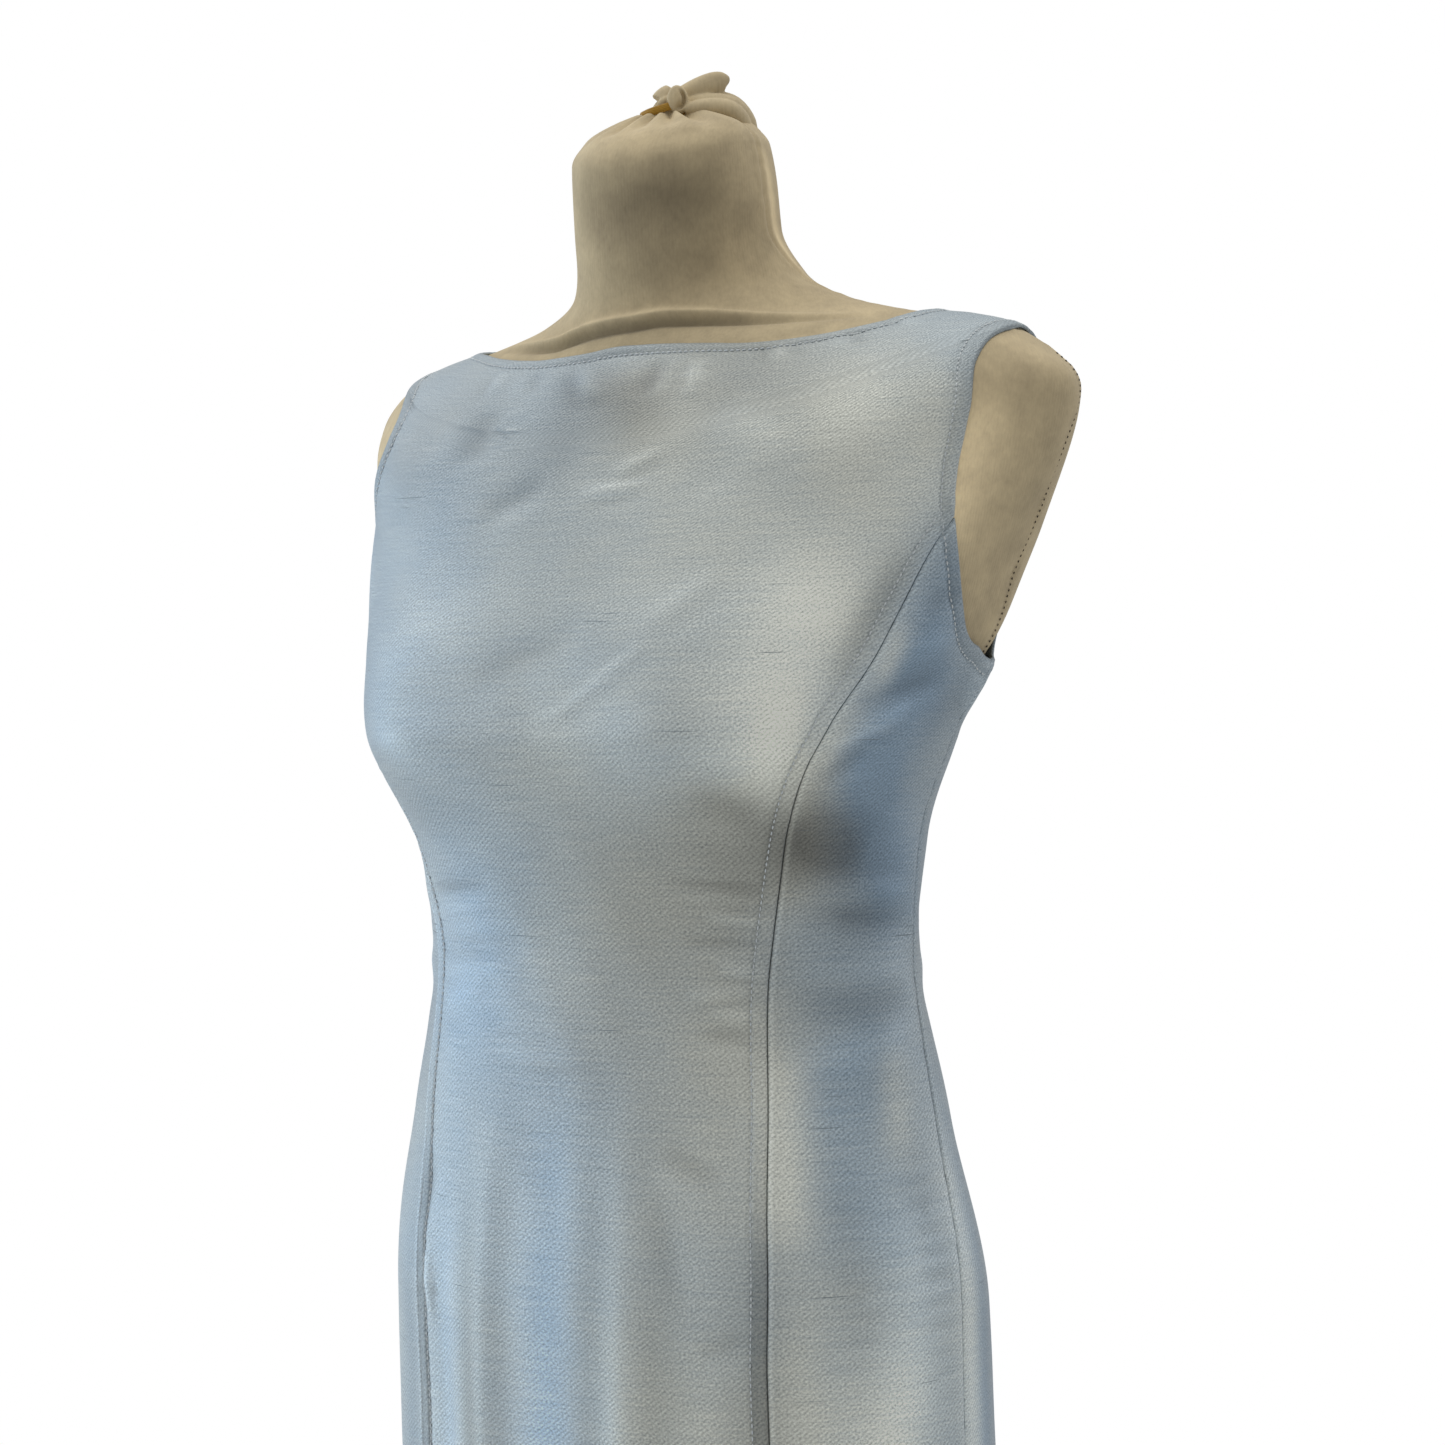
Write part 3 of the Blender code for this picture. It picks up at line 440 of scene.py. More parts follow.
def outward(surface, ring, angle):
    """Unit normals of a surface, pointing away from the body."""
    step_ring, step_angle = 2e-3, 0.05
    down = surface(ring + step_ring, angle) - surface(ring - step_ring, angle)
    inside = np.clip(angle, -180 + step_angle, 180 - step_angle)
    around = surface(ring, inside + step_angle) - surface(ring, inside - step_angle)
    normal = np.cross(around, down)
    normal /= np.maximum(np.linalg.norm(normal, axis=-1, keepdims=True), 1e-12)
    return -normal


def along_line(points, line, reach=0.06):
    """For each point, the distance to the nearest place on a line of points and how far along that lies.

    A point further away than the reach gets the distance to the nearest of the line's coarse points."""
    shape = points.shape[:-1]
    flat = points.reshape(-1, 3)
    start, span = line[:-1], np.diff(line, axis=0)
    length = np.linalg.norm(span, axis=1)
    begun = np.concatenate([[0.0], np.cumsum(length)[:-1]])
    coarse = np.unique(np.append(np.arange(0, len(start), 8), len(start) - 1))
    away = np.full(len(flat), np.inf)
    along = np.zeros(len(flat))
    for index in coarse:
        gap = np.linalg.norm(flat - start[index], axis=1)
        closer = gap < away
        away[closer], along[closer] = gap[closer], begun[index]
    near = np.nonzero(away < reach + 8 * length.max())[0]
    for first in range(0, len(near), 4000):
        these = near[first:first + 4000]
        part = flat[these, None]
        share = np.clip(((part - start) * span).sum(-1) / np.maximum(length**2, 1e-12), 0, 1)
        gap = np.linalg.norm(part - (start + share[..., None] * span), axis=-1)
        nearest = gap.argmin(axis=1)
        rows = np.arange(len(nearest))
        away[these] = gap[rows, nearest]
        along[these] = (begun + share * length)[rows, nearest]
    return away.reshape(shape), along.reshape(shape)


def lay_painted_tones(surface, points, painted_tones):
    """The two amounts of a table of painted tones at each point: a painted sheen hue and painted light or shade.
    A long stretch fades to its ends.
    """
    amounts = np.zeros(points.shape[:-1] + (2,))
    for ring_a, angle_a, ring_b, angle_b, painted_hue, painted_light, reach in painted_tones:
        share = np.linspace(0, 1, 17)
        line = surface(ring_a + (ring_b - ring_a) * share, angle_a + (angle_b - angle_a) * share)
        away, along = along_line(points, line, 2.5 * reach)
        length = max(np.linalg.norm(np.diff(line, axis=0), axis=1).sum(), 1e-6)
        faded = np.clip((length / reach - 1.5) / 4, 0, 0.9) * np.abs(2 * along / length - 1) ** 3
        amounts += (bell(away, reach) * (1 - faded))[..., None] * (painted_hue, painted_light)
    return amounts


def set_amount(made, name, amounts):
    """Gives each point of a mesh an amount that its material reads."""
    made.data.attributes.new(name, "FLOAT", "POINT").data.foreach_set("value", amounts.ravel().astype(np.float32))


def ripple(along, pitch, shift=0.0):
    """An uneven wave from -1 to 1 along a line, with about the given pitch in metres."""
    turns = 2 * math.pi * along / pitch
    slow = 0.65 + 0.35 * np.sin(turns * 0.173 + 1.3 + shift)
    return slow * (0.6 * np.sin(turns + shift) + 0.4 * np.sin(turns * 1.618 + 2.1 * shift + 0.7))


def grid_object(name, points, finish):
    """An open sheet from a grid of points, with its cut in metres as texture coordinates.

    Across runs from the grid's middle column along each row, and up follows the rows but stays level."""
    rows, columns = points.shape[:2]
    across = np.zeros((rows, columns))
    across[:, 1:] = np.cumsum(np.linalg.norm(np.diff(points, axis=1), axis=-1), axis=1)
    across -= across[:, columns // 2][:, None]
    down = np.zeros((rows, columns))
    down[1:] = np.cumsum(np.linalg.norm(np.diff(points, axis=0), axis=-1), axis=0)
    up = -down.mean(axis=1)[:, None] + points[..., 2] - points[..., 2].mean(axis=1)[:, None]
    uv = np.stack([across, up], axis=-1).reshape(-1, 2)
    corner = (np.arange(rows - 1)[:, None] * columns + np.arange(columns - 1)).ravel()
    faces = np.stack([corner, corner + columns, corner + columns + 1, corner + 1], axis=1)
    return mesh_object(name, points.reshape(-1, 3), faces, finish, uv[faces.ravel()])


def thickened(made, thickness, merge=False):
    """Gives a sheet its thickness inwards, as real geometry."""
    if merge:
        weld = made.modifiers.new("weld", "WELD")
        weld.merge_threshold = 0.00002
    wall = made.modifiers.new("cloth", "SOLIDIFY")
    wall.thickness = thickness
    wall.offset = -1
    mesh = bpy.data.meshes.new_from_object(made.evaluated_get(bpy.context.evaluated_depsgraph_get()))
    made.modifiers.clear()
    made.data = mesh


def stripes(tree, cut, pitch, climb):
    """A wave from -1 to 1 over the cut, in lines that lie a pitch apart and climb at an angle in degrees."""
    climb = math.radians(climb)
    across = (-math.sin(climb) * 2 * math.pi / pitch, math.cos(climb) * 2 * math.pi / pitch, 0)
    turn = add_node(tree, "ShaderNodeVectorMath", {0: cut, 1: across}, operation="DOT_PRODUCT")
    return add_node(tree, "ShaderNodeMath", {0: turn}, operation="SINE")


def drawn_out(tree, cut, across, up, detail, roughness=0.5):
    """Noise drawn out along the threads, from its specks in each metre across and up the cut."""
    run = add_node(tree, "ShaderNodeMapping", {"Vector": cut, "Scale": (across, up, 1.0)})
    return add_node(tree, "ShaderNodeTexNoise", {
        "Vector": run, "Scale": 1.0, "Detail": detail, "Roughness": roughness,
    })


def summed(tree, start, *parts):
    """A value and further parts, each taken times its weight."""
    for part, weight in parts:
        start = add_node(tree, "ShaderNodeMath", {0: part, 1: weight, 2: start}, operation="MULTIPLY_ADD")
    return start


# Cotton jersey: a matt heathered knit with fine upright wales and a little pill, which shades softly.
JERSEY_FAWN = "#CDBD9B"
JERSEY_SHADE = "#A89A7F"
WALE_PITCH = 0.0019        # the real wales are about 1.1 mm apart, too fine to show here
jersey, tree, shader = start_material(
    "cotton_jersey", roughness=0.92, sheen_weight=0.25, sheen_roughness=0.5, sheen_tint=(0.95, 0.88, 0.76, 1.0),
    specular_ior_level=0.25,
)
cut = add_node(tree, "ShaderNodeTexCoord").outputs["UV"]
place = add_node(tree, "ShaderNodeTexCoord").outputs["Object"]
wale = stripes(tree, cut, WALE_PITCH, -90)
heather = drawn_out(tree, cut, 520.0, 240.0, 3.0)
worn = add_node(tree, "ShaderNodeTexNoise", {"Vector": place, "Scale": 58.0, "Detail": 5.0, "Roughness": 0.62})
cloudy = summed(tree, -0.55, (heather, 0.60), (worn, 1.55))
tone = add_node(tree, "ShaderNodeMix", {
    "Factor": cloudy, 6: linear(JERSEY_SHADE), 7: linear(JERSEY_FAWN),
}, data_type="RGBA")
# painted light and shade laid on the cover's points
painted_light = add_node(tree, "ShaderNodeAttribute", attribute_name="painted_light").outputs["Fac"]
lit_by = add_node(tree, "ShaderNodeMath", {0: painted_light, 1: 1.0}, operation="ADD")
laid = add_node(tree, "ShaderNodeVectorMath", {0: tone, 3: lit_by}, operation="SCALE")
raised = summed(tree, heather, (wale, 0.10))
bump = add_node(tree, "ShaderNodeBump", {"Height": raised, "Strength": 0.40, "Distance": 0.0005})
feed(shader, {"Base Color": laid, "Normal": bump})

cover_rings = np.concatenate([np.linspace(*stretch)[:-1] for stretch in COVER_ROWS] + [[21]])
cover_angles = np.linspace(-180, 180, 205)
ring, angle = np.meshgrid(cover_rings, cover_angles, indexing="ij")
points = form_surface(ring, angle)
facing = outward(form_surface, ring, angle)

# The side seams: a ridge over the allowance beside each, the dip of its join, and a little pucker.
seam_rings = np.linspace(0, 21, 420)
rise = np.zeros(ring.shape)
for side in (-1, 1):
    line = form_surface(seam_rings, side * read_table(COVER_SEAM, seam_rings))
    away, along = along_line(points, line)
    rise += 0.0006 * bell(away - 0.0035, 0.002) - 0.001 * bell(away, 0.0012)
    rise += 0.00025 * ripple(along, 0.014, side) * bell(away, 0.007)

# The fold at the neck's root: a roll above its line and a trough below, which fade out towards its ends.
fold_start, fold_end = NECK_FOLD[0][0], NECK_FOLD[-1][0]
fold_angles = np.linspace(fold_start, fold_end, 160)
fold_line = form_surface(read_table(NECK_FOLD, fold_angles), fold_angles)
away, along = along_line(points, fold_line)
below = np.where(ring > read_table(NECK_FOLD, np.clip(angle, fold_start, fold_end)), away, -away)
held = np.clip((angle + 70) / 50, 0, 1) * np.clip((74 - angle) / 48, 0, 1)
held = held * held * (3 - 2 * held)
rise += held * (0.0036 * bell(below + 0.0016, 0.003) - 0.0034 * bell(below - 0.0034, 0.003))

for middle, height, half_width, last in CROWN_PLEATS:
    turned_away = (angle - middle + 180) % 360 - 180
    fade = np.clip((last - ring) / last, 0, 1)
    pleat = height * bell(turned_away, half_width * (1.4 - 0.4 * fade))
    rise += pleat * fade**0.8 * np.clip(ring / 0.35, 0, 1)
points = points + rise[..., None] * facing

# Underneath, the cover is drawn in flat to its opening in small gathers.
underside = points[-1]
toward = np.radians(cover_angles)
hole = np.stack([COVER_HOLE * np.sin(toward), -COVER_HOLE * np.cos(toward), np.full(len(toward), COVER_LOW)], axis=-1)
drawn_in = []
for share in np.linspace(0, 1, 26)[1:]:
    gathers = 0.001 * np.sin(toward * COVER_GATHERS) * share**2
    drawn_in.append(underside + (hole - underside) * share + gathers[:, None] * (0, 0, 0.6))
points = np.concatenate([points, np.array(drawn_in)])
points[:, -1] = points[:, 0]
cover = grid_object("torso_jersey_cover", points, jersey)
# painted light and shade on the jersey, from its table
painted_tones = lay_painted_tones(form_surface, form_surface(ring, angle), FORM_PAINTED_LIGHT)[..., 1]
# painted highlight on the fold's roll and painted shade in the trough below it
painted_tones += held * (0.22 * bell(below + 0.0022, 0.0032) - 0.44 * bell(below - 0.004, 0.0042))
set_amount(cover, "painted_light", np.concatenate([painted_tones, np.zeros((len(drawn_in), painted_tones.shape[1]))]))
thickened(cover, JERSEY_THICKNESS, merge=True)
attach(cover, "dress_on_form")
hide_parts("form_torso")


# Dress panels
# A princess-line shift cut in five panels: a front centre, two side fronts and two backs. The cloth is a
# slubbed satin twill of blue warp and silver-grey weft that shines, and its change of tone where it turns is
# painted sheen laid on by place.
# The panels are sewn edge to edge, turned in at the neck and armholes, and hemmed at the knee.
CLOTH_THICKNESS = 0.0012
SEAM_GAP = 0.0003
JUNCTION = 3.93            # ring at which the princess seams start in the armholes
ARMPIT = 5.2               # ring of the armholes' lowest point, where the side seams start
HEM = 12
WAIST = 0.990

# The dress's own level rings, with the same nine sizes as the torso's.
DRESS_RINGS = (
    (1.333, 1.312, 1.326, 0.147, 0.054, 0.098, 0.040, 2.00, 2.00),    # 0 neckline
    (1.3285, 1.289, 1.306, 0.172, 0.072, 0.112, 0.042, 2.10, 2.10),   # 1 yoke
    (1.3205, 1.262, 1.280, 0.195, 0.087, 0.122, 0.044, 2.20, 2.20),   # 2 tip of the shoulder
    (1.285, 1.230, 1.248, 0.214, 0.101, 0.130, 0.050, 2.30, 2.30),    # 3 upper arm
    (1.220, 1.190, 1.203, 0.2015, 0.114, 0.128, 0.043, 2.35, 2.35),   # 4 chest
    (1.155, 1.150, 1.155, 0.183, 0.127, 0.112, 0.022, 2.55, 2.35),    # 5 armpit
    (1.110, 1.110, 1.110, 0.167, 0.133, 0.101, 0.008, 2.75, 2.30),    # 6 bust
    (1.050, 1.050, 1.050, 0.149, 0.1175, 0.088, 0.001, 2.30, 2.20),   # 7 under the bust
    (0.990, 0.990, 0.990, 0.146, 0.108, 0.080, 0.000, 2.10, 2.10),    # 8 waist
    (0.900, 0.900, 0.900, 0.163, 0.112, 0.090, 0.000, 2.10, 2.10),    # 9 high hip
    (0.800, 0.800, 0.800, 0.179, 0.117, 0.118, 0.000, 2.10, 2.10),    # 10 hip
    (0.690, 0.690, 0.690, 0.179, 0.115, 0.127, 0.000, 2.10, 2.10),    # 11 thigh
    (0.400, 0.400, 0.400, 0.181, 0.115, 0.130, 0.000, 2.10, 2.10),    # 12 hem
)
DRESS_BUST = (0.0130, 0.095, 1.112, 0.048, 0.070, 0.041)

# Seams and edges on that body: ring, then the angle round it from the centre front.
PRINCESS_SEAM = (
    (3.93, 69), (4.01, 68), (4.16, 66.5), (4.4, 65.4), (4.71, 64.7), (4.97, 64.2), (5.37, 63.1), (5.62, 62),
    (5.86, 60.6), (6.11, 58.9), (6.32, 56.8), (6.53, 55.1), (6.92, 52.5), (7.55, 49.3), (8, 47.4), (8.5, 44.8),
    (9, 42.3), (9.57, 39.8), (10.2, 38.6), (11, 38.9), (12, 40),
)
FRONT_ARMHOLE = {
    "left": (
        (2, 90), (2.03, 84.5), (2.1, 78.8), (2.25, 73.4), (2.5, 68.4), (2.83, 65.9), (3.11, 65.1), (3.4, 65.4),
        (3.7, 67), (3.93, 69), (4.15, 71.8), (4.35, 75), (4.7, 81.5), (5, 87.8), (5.12, 91.8), (5.18, 95.4),
        (5.2, 99),
    ),
    "right": (
        (1.7, 90), (1.73, 78), (1.78, 68), (1.86, 60), (2.08, 53), (2.36, 50), (2.65, 49), (2.95, 50.3),
        (3.2, 53.5), (3.4, 57.2), (3.6, 61.3), (3.8, 66), (3.93, 69), (4.15, 71.8), (4.35, 75), (4.7, 81.5),
        (5, 87.8), (5.12, 91.8), (5.18, 95.4), (5.2, 99),
    ),
}
BACK_ARMHOLE = {
    "left": (
        (2, 90), (2.03, 96), (2.1, 102.5), (2.25, 109), (2.5, 113.5), (3, 116.8), (3.6, 118), (4.2, 119.3),
        (4.6, 119.8), (4.9, 118.8), (5.08, 115), (5.17, 108.5), (5.2, 99),
    ),
    "right": (
        (1.7, 90), (1.73, 97), (1.82, 104.5), (2, 110.5), (2.4, 115), (3, 117.3), (3.6, 118), (4.2, 119.3),
        (4.6, 119.8), (4.9, 118.8), (5.08, 115), (5.17, 108.5), (5.2, 99),
    ),
}
# How far the worn neckline has slid down from its ring, or up where it is below zero, by the angle round it.
NECK_SLIP = (
    (-90, 0), (-70, -0.05), (-52, -0.12), (-38, -0.05), (-22, 0), (-10, -0.15), (2, -0.38), (10, -0.33),
    (20, -0.12), (30, 0.12), (40, 0.28), (50, 0.35), (60, 0.33), (70, 0.19), (80, 0.05), (90, 0),
)
SIDE_SEAM = (
    (5.2, 99), (6, 98), (7, 97), (8, 95.5), (8.5, 93), (9, 90.5), (10, 88.8), (12, 88.5),
)

# Soft upright folds of the skirt: angle, rise, half width in degrees, top, length over which it grows.
SKIRT_FOLDS = (
    (-14, 0.0035, 7, 0.955, 0.22), (4, -0.0035, 9, 0.93, 0.24), (-33, -0.003, 7, 0.93, 0.22),
    (25, 0.0022, 8, 0.86, 0.2), (62, -0.003, 9, 0.9, 0.25), (-64, -0.0028, 9, 0.9, 0.25),
    (118, 0.003, 10, 0.86, 0.22), (141, -0.0035, 9, 0.84, 0.24), (-122, -0.0032, 9, 0.85, 0.22),
    (-146, 0.003, 10, 0.87, 0.24),
)
BACK_DART_ANGLE = 136.0
BACK_DART_DEPTH = 0.0025
BACK_DART_HALF_WIDTH = 5.0
BACK_DART_REACH = 0.12
CREASE_POINTS = 14
DRAPE_RISE = 0.00055

# Creases in the worn cloth, each a soft ridge, or a trough where its rise is below zero, with a weaker
# opposite wave on its lower side: ring and angle of both ends, rise, half width.
CREASES = (
    (0.3, -6.2, 1.15, 1.5, 0.002, 0.0052), (0.34, 13, 1.2, 9.5, -0.0016, 0.006),
    (0.35, 21.2, 1.4, 19, 0.0019, 0.0044), (0.28, -30, 1, -25, 0.0014, 0.0048),
    (0.3, -18, 0.95, -14, -0.0012, 0.005), (0.3, 38, 0.95, 35, 0.0013, 0.0042),
    (0.32, 55, 1.1, 52, -0.0013, 0.0048), (0.26, 70, 0.9, 66, 0.0011, 0.0046),
    (2.9, 2, 2.82, 11.5, 0.0013, 0.0032), (2.62, 6, 2.3, 14, 0.0008, 0.004),
    (3.15, -12, 2.7, -2, -0.0014, 0.008), (1.3, -22, 2.4, -18, -0.0018, 0.013), (1.7, 24, 3, 30, 0.0015, 0.015),
    (5.85, 1, 4.9, 18, 0.0013, 0.004), (5.3, -8, 4.6, 6, -0.0014, 0.008), (4.7, 16, 4.1, 27, 0.0006, 0.006),
    (4.2, 60.5, 5.6, 54.5, -0.0016, 0.0085), (4.6, -46, 3.7, -57, 0.0014, 0.01),
    (4.75, 70, 4.55, 78, -0.0011, 0.006), (5.15, 67, 5.02, 84, 0.0013, 0.007),
    (6.15, 60, 5.8, 80, 0.0022, 0.005), (5.75, 62, 5.45, 86, -0.0018, 0.006),
    (6.45, 59, 6.2, 72, -0.0014, 0.0045), (6.2, -60, 5.75, -82, 0.0018, 0.0055),
    (6.85, 52, 7.15, 74, -0.0034, 0.019), (6.88, -50, 7.12, -72, -0.003, 0.017),
    (6.55, 30, 6.7, 46, -0.0012, 0.008), (7.27, 24, 7.37, 48, -0.0011, 0.0034),
    (7.6, 32, 7.66, 47.5, 0.0013, 0.003), (7.81, 27, 7.85, 47, -0.0014, 0.0034),
    (8.22, 28, 8.15, 45, 0.0016, 0.0034), (7.4, -16, 7.52, -46, -0.0014, 0.005),
    (7.9, -8, 7.98, -45, -0.0015, 0.0055), (8.2, -20, 8.32, -42, 0.0012, 0.006),
    (7.35, 54, 7.5, 93, 0.0013, 0.0065), (7.62, 54, 7.8, 93, -0.0014, 0.008),
    (8.05, 50, 8.15, 92, 0.0014, 0.008), (8.35, 54, 8.3, 88, -0.0007, 0.008), (8.62, 48, 8.5, 84, 0.0012, 0.01),
    (7.55, -54, 7.75, -93, -0.002, 0.0085), (8.1, -50, 8.1, -90, 0.0017, 0.0085),
    (9.73, -35, 10.14, -33, 0.002, 0.004), (9.2, -36, 9.6, -38, -0.0012, 0.006),
    (8.7, 13, 11.8, 10, 0.002, 0.0105), (8.6, 0, 11.4, -1, -0.0014, 0.0115),
    (8.9, -16, 11.6, -15, 0.0016, 0.01), (9.4, -29, 11.5, -29, -0.0018, 0.009),
    (9.2, 30, 11.7, 27, 0.0018, 0.014), (9.3, 20, 9.95, 23, -0.0007, 0.008),
    (8.9, 55, 10.8, 60, -0.0007, 0.012), (9, 68, 10.6, 71, 0.002, 0.012), (8.03, 35, 8.06, 46.8, 0.002, 0.0032),
    (8.31, 33, 8.34, 44.8, 0.0018, 0.0032), (8.43, 30, 8.47, 43.8, -0.0016, 0.0036),
    (8.58, -19, 8.62, 7, 0.0009, 0.004), (9.05, 20.8, 9.23, 33, -0.0014, 0.006),
    (10.08, 26, 9.96, 36, -0.0014, 0.006), (5.05, 105, 5.85, 95, 0.0034, 0.015),
    (5.05, -105, 5.8, -96, 0.0026, 0.015), (1.6, 150, 2.6, 128, 0.0018, 0.012),
    (1.6, -150, 2.5, -130, 0.0016, 0.013), (4.2, 132, 4.9, 118, -0.0018, 0.01),
    (4.25, -131, 5, -116, -0.0016, 0.011), (5.6, 104, 6.1, 122, 0.0014, 0.008),
    (5.7, -104, 6.2, -121, -0.0014, 0.0085), (7.3, 176, 7.45, 142, -0.0018, 0.007),
    (7.75, 177, 7.82, 139, 0.0016, 0.0065), (8.2, 176, 8.1, 144, -0.0018, 0.008),
    (7.35, -177, 7.4, -145, -0.0017, 0.0075), (7.85, -176, 7.95, -140, 0.0018, 0.007),
    (8.3, -177, 8.25, -148, -0.0016, 0.0085), (7.6, 130, 7.75, 104, -0.0017, 0.0085),
    (8.05, 131, 8.15, 102, 0.0016, 0.008), (7.65, -129, 7.7, -103, -0.0018, 0.0085),
    (9.1, 152, 11.6, 148, 0.0024, 0.012), (9, 134, 11.2, 136, -0.0024, 0.013),
    (9.2, -150, 11.5, -153, -0.0022, 0.013), (9, -128, 11.4, -126, 0.0024, 0.012),
)


def smooth_step(value, start, end):
    """0 up to the start, 1 from the end on, and a smooth rise between."""
    share = np.clip((value - start) / (end - start), 0, 1)
    return share * share * (3 - 2 * share)


def fold_rise(points, angle):
    """How far the skirt's folds stand out from the lofted body, less the sinking of the back darts."""
    rise = np.zeros(points.shape[:-1])
    for middle, height, half_width, top, grows_over in SKIRT_FOLDS:
        away = (angle - middle + 180) % 360 - 180
        rise += height * bell(away, half_width) * smooth_step(top - points[..., 2], 0, grows_over)
    near = np.clip(1 - np.abs(points[..., 2] - WAIST) / BACK_DART_REACH, 0, 1)
    return rise - BACK_DART_DEPTH * near * bell(np.abs(angle) - BACK_DART_ANGLE, BACK_DART_HALF_WIDTH)


def dress_surface(ring, angle):
    """Points of the plain dress: its rings, which follow the torso above the neckline's, with bust and folds."""
    ring, angle = np.broadcast_arrays(np.asarray(ring, float), np.asarray(angle, float))
    ring = ring + read_table(NECK_SLIP, angle) * (1 - np.clip(ring, 0, 1)) ** 2
    points = ring_points(DRESS_RINGS, ring, angle)
    higher = ring < 0
    if higher.any():
        level = np.full(higher.sum(), 8.0)
        points[higher] += form_surface(level + ring[higher], angle[higher]) - form_surface(level, angle[higher])
    points[..., 1] -= bust_rise(DRESS_BUST, points, angle)
    away = points * (1, 1, 0)
    away /= np.maximum(np.linalg.norm(away, axis=-1, keepdims=True), 1e-9)
    points += fold_rise(points, angle)[..., None] * away
    points[..., 0] += shoulder_lean(points)
    return points


def crease_rise(points):
    """How far the creases lift the cloth. Each fades out towards its ends."""
    rise = np.zeros(points.shape[:-1])
    share = np.linspace(0, 1, CREASE_POINTS)
    for ring_a, angle_a, ring_b, angle_b, height, half_width in CREASES:
        line = dress_surface(ring_a + (ring_b - ring_a) * share, angle_a + (angle_b - angle_a) * share)
        reach = np.linalg.norm(line[-1] - line[0]) * 0.6 + 5 * half_width
        near = np.linalg.norm(points - line[CREASE_POINTS // 2], axis=-1) < reach
        away, along = along_line(points[near], line)
        along = np.clip(along / np.linalg.norm(np.diff(line, axis=0), axis=1).sum(), 0, 1)
        beside = line[(along * (CREASE_POINTS - 1)).round().astype(int)]
        under = points[near][:, 2] < beside[:, 2]
        wave = bell(away, half_width) - 0.45 * under * bell(away - 1.9 * half_width, 1.1 * half_width)
        rise[near] += height * np.sin(np.pi * along) ** 0.8 * wave
    return rise


def drape_rise(points):
    """The slow unevenness of cloth that hangs free, strongest between the bust and the hip."""
    x, y, z = np.moveaxis(points, -1, 0)
    turn = np.arctan2(x, -y)
    waves = np.sin(turn * 5 + z * 21 + 0.6) * np.sin(z * 27 + turn * 2 + 1.0)
    waves += 0.6 * np.sin(turn * 9 - z * 34 + 2.2) * np.sin(z * 15 - 0.4)
    waves += 0.35 * np.sin(turn * 17 + z * 52) * np.sin(z * 43 + turn * 6 + 0.3)
    return DRAPE_RISE * waves * (0.45 + 0.55 * bell(z - 0.95, 0.16))


# The edges and seams as lines on the body, both sides.
seam_rings = np.linspace(JUNCTION, HEM, 260)
side_rings = np.linspace(ARMPIT, HEM, 220)
all_round = np.linspace(-180, 180, 260)
LINES = {
    "neckline": dress_surface(0, all_round),
    "hem": dress_surface(HEM, all_round),
    "centre_back": dress_surface(np.linspace(0, HEM, 300), 180),
}
HOLE_RINGS = {}
for label, side in (("left", 1), ("right", -1)):
    top = FRONT_ARMHOLE[label][0][0]
    hole = HOLE_RINGS[label] = top + (ARMPIT - top) * (1 - np.cos(np.linspace(0, math.pi, 150))) / 2
    LINES["shoulder_" + label] = dress_surface(np.linspace(0, top, 60), side * 90)
    for line, rings, table in (
        ("front_armhole_", hole, FRONT_ARMHOLE[label]), ("back_armhole_", hole, BACK_ARMHOLE[label]),
        ("princess_", seam_rings, PRINCESS_SEAM), ("side_", side_rings, SIDE_SEAM),
    ):
        LINES[line + label] = dress_surface(rings, side * read_table(table, rings))

NECK_STITCH = 0.0065
ARMHOLE_STITCH = 0.0090
SEAM_STITCH = 0.0085
HEM_WIDTH = 0.035

# How the cloth lies near each kind of edge or seam: where it lies double (its rise, over how far it starts, its
# width and how softly it ends), its ridges and grooves (rise, distance, half width), and its pucker (rise, pitch,
# distance, half width).
EDGE_RISES = {
    # a plain seam pressed open: a sharp dip at the join and a faint ridge over each allowance
    "open": (None, ((-0.00065, 0, 0.0009), (0.00025, 0.004, 0.0035)), (0.00022, 0.021, 0, 0.008)),
    # a seam whose allowances are pressed to one side: its free side, and the side where they are stitched down
    "plain": (None, ((-0.0006, 0, 0.0009), (0.0003, 0.003, 0.0025)), (0.0002, 0.017, 0, 0.009)),
    "stitched": (
        (0.00065, 0.0012, SEAM_STITCH, 0.001), ((-0.0006, 0, 0.0009), (-0.00075, SEAM_STITCH, 0.0011)),
        (0.00028, 0.0125, SEAM_STITCH, 0.006),
    ),
    "hem": ((0.0005, 0, HEM_WIDTH, 0.002), ((-0.0008, 0, 0.0012),), (0.0003, 0.019, HEM_WIDTH, 0.006)),
}
# An edge turned in and topstitched: it rolls under, lies double up to the stitching, and puckers there.
for kind, stitch in (("neck", NECK_STITCH), ("armhole", ARMHOLE_STITCH)):
    EDGE_RISES[kind] = (
        (0.0005, 0.001, stitch, 0.001), ((-0.00055, 0, 0.0008), (-0.0007, stitch, 0.0011)),
        (0.00022, 0.010, stitch, 0.0055),
    )


def cloth_rise(points, edges):
    """The height of the real cloth over the plain body: its creases, its drape, and the given edges and seams."""
    rise = crease_rise(points) + drape_rise(points)
    for number, (label, kind) in enumerate(edges):
        away, along = along_line(points, LINES[label])
        double, bumps, (pucker, pitch, middle, reach) = EDGE_RISES[kind]
        if double:
            height, starts, width, ends = double
            doubled = height * (1 - smooth_step(away, width - ends, width + ends))
            rise += doubled * smooth_step(away, 0, starts) if starts else doubled
        for height, distance, half_width in bumps:
            rise += height * bell(away - distance, half_width)
        rise += pucker * ripple(along, pitch, number) * bell(away - middle, reach)
    return rise
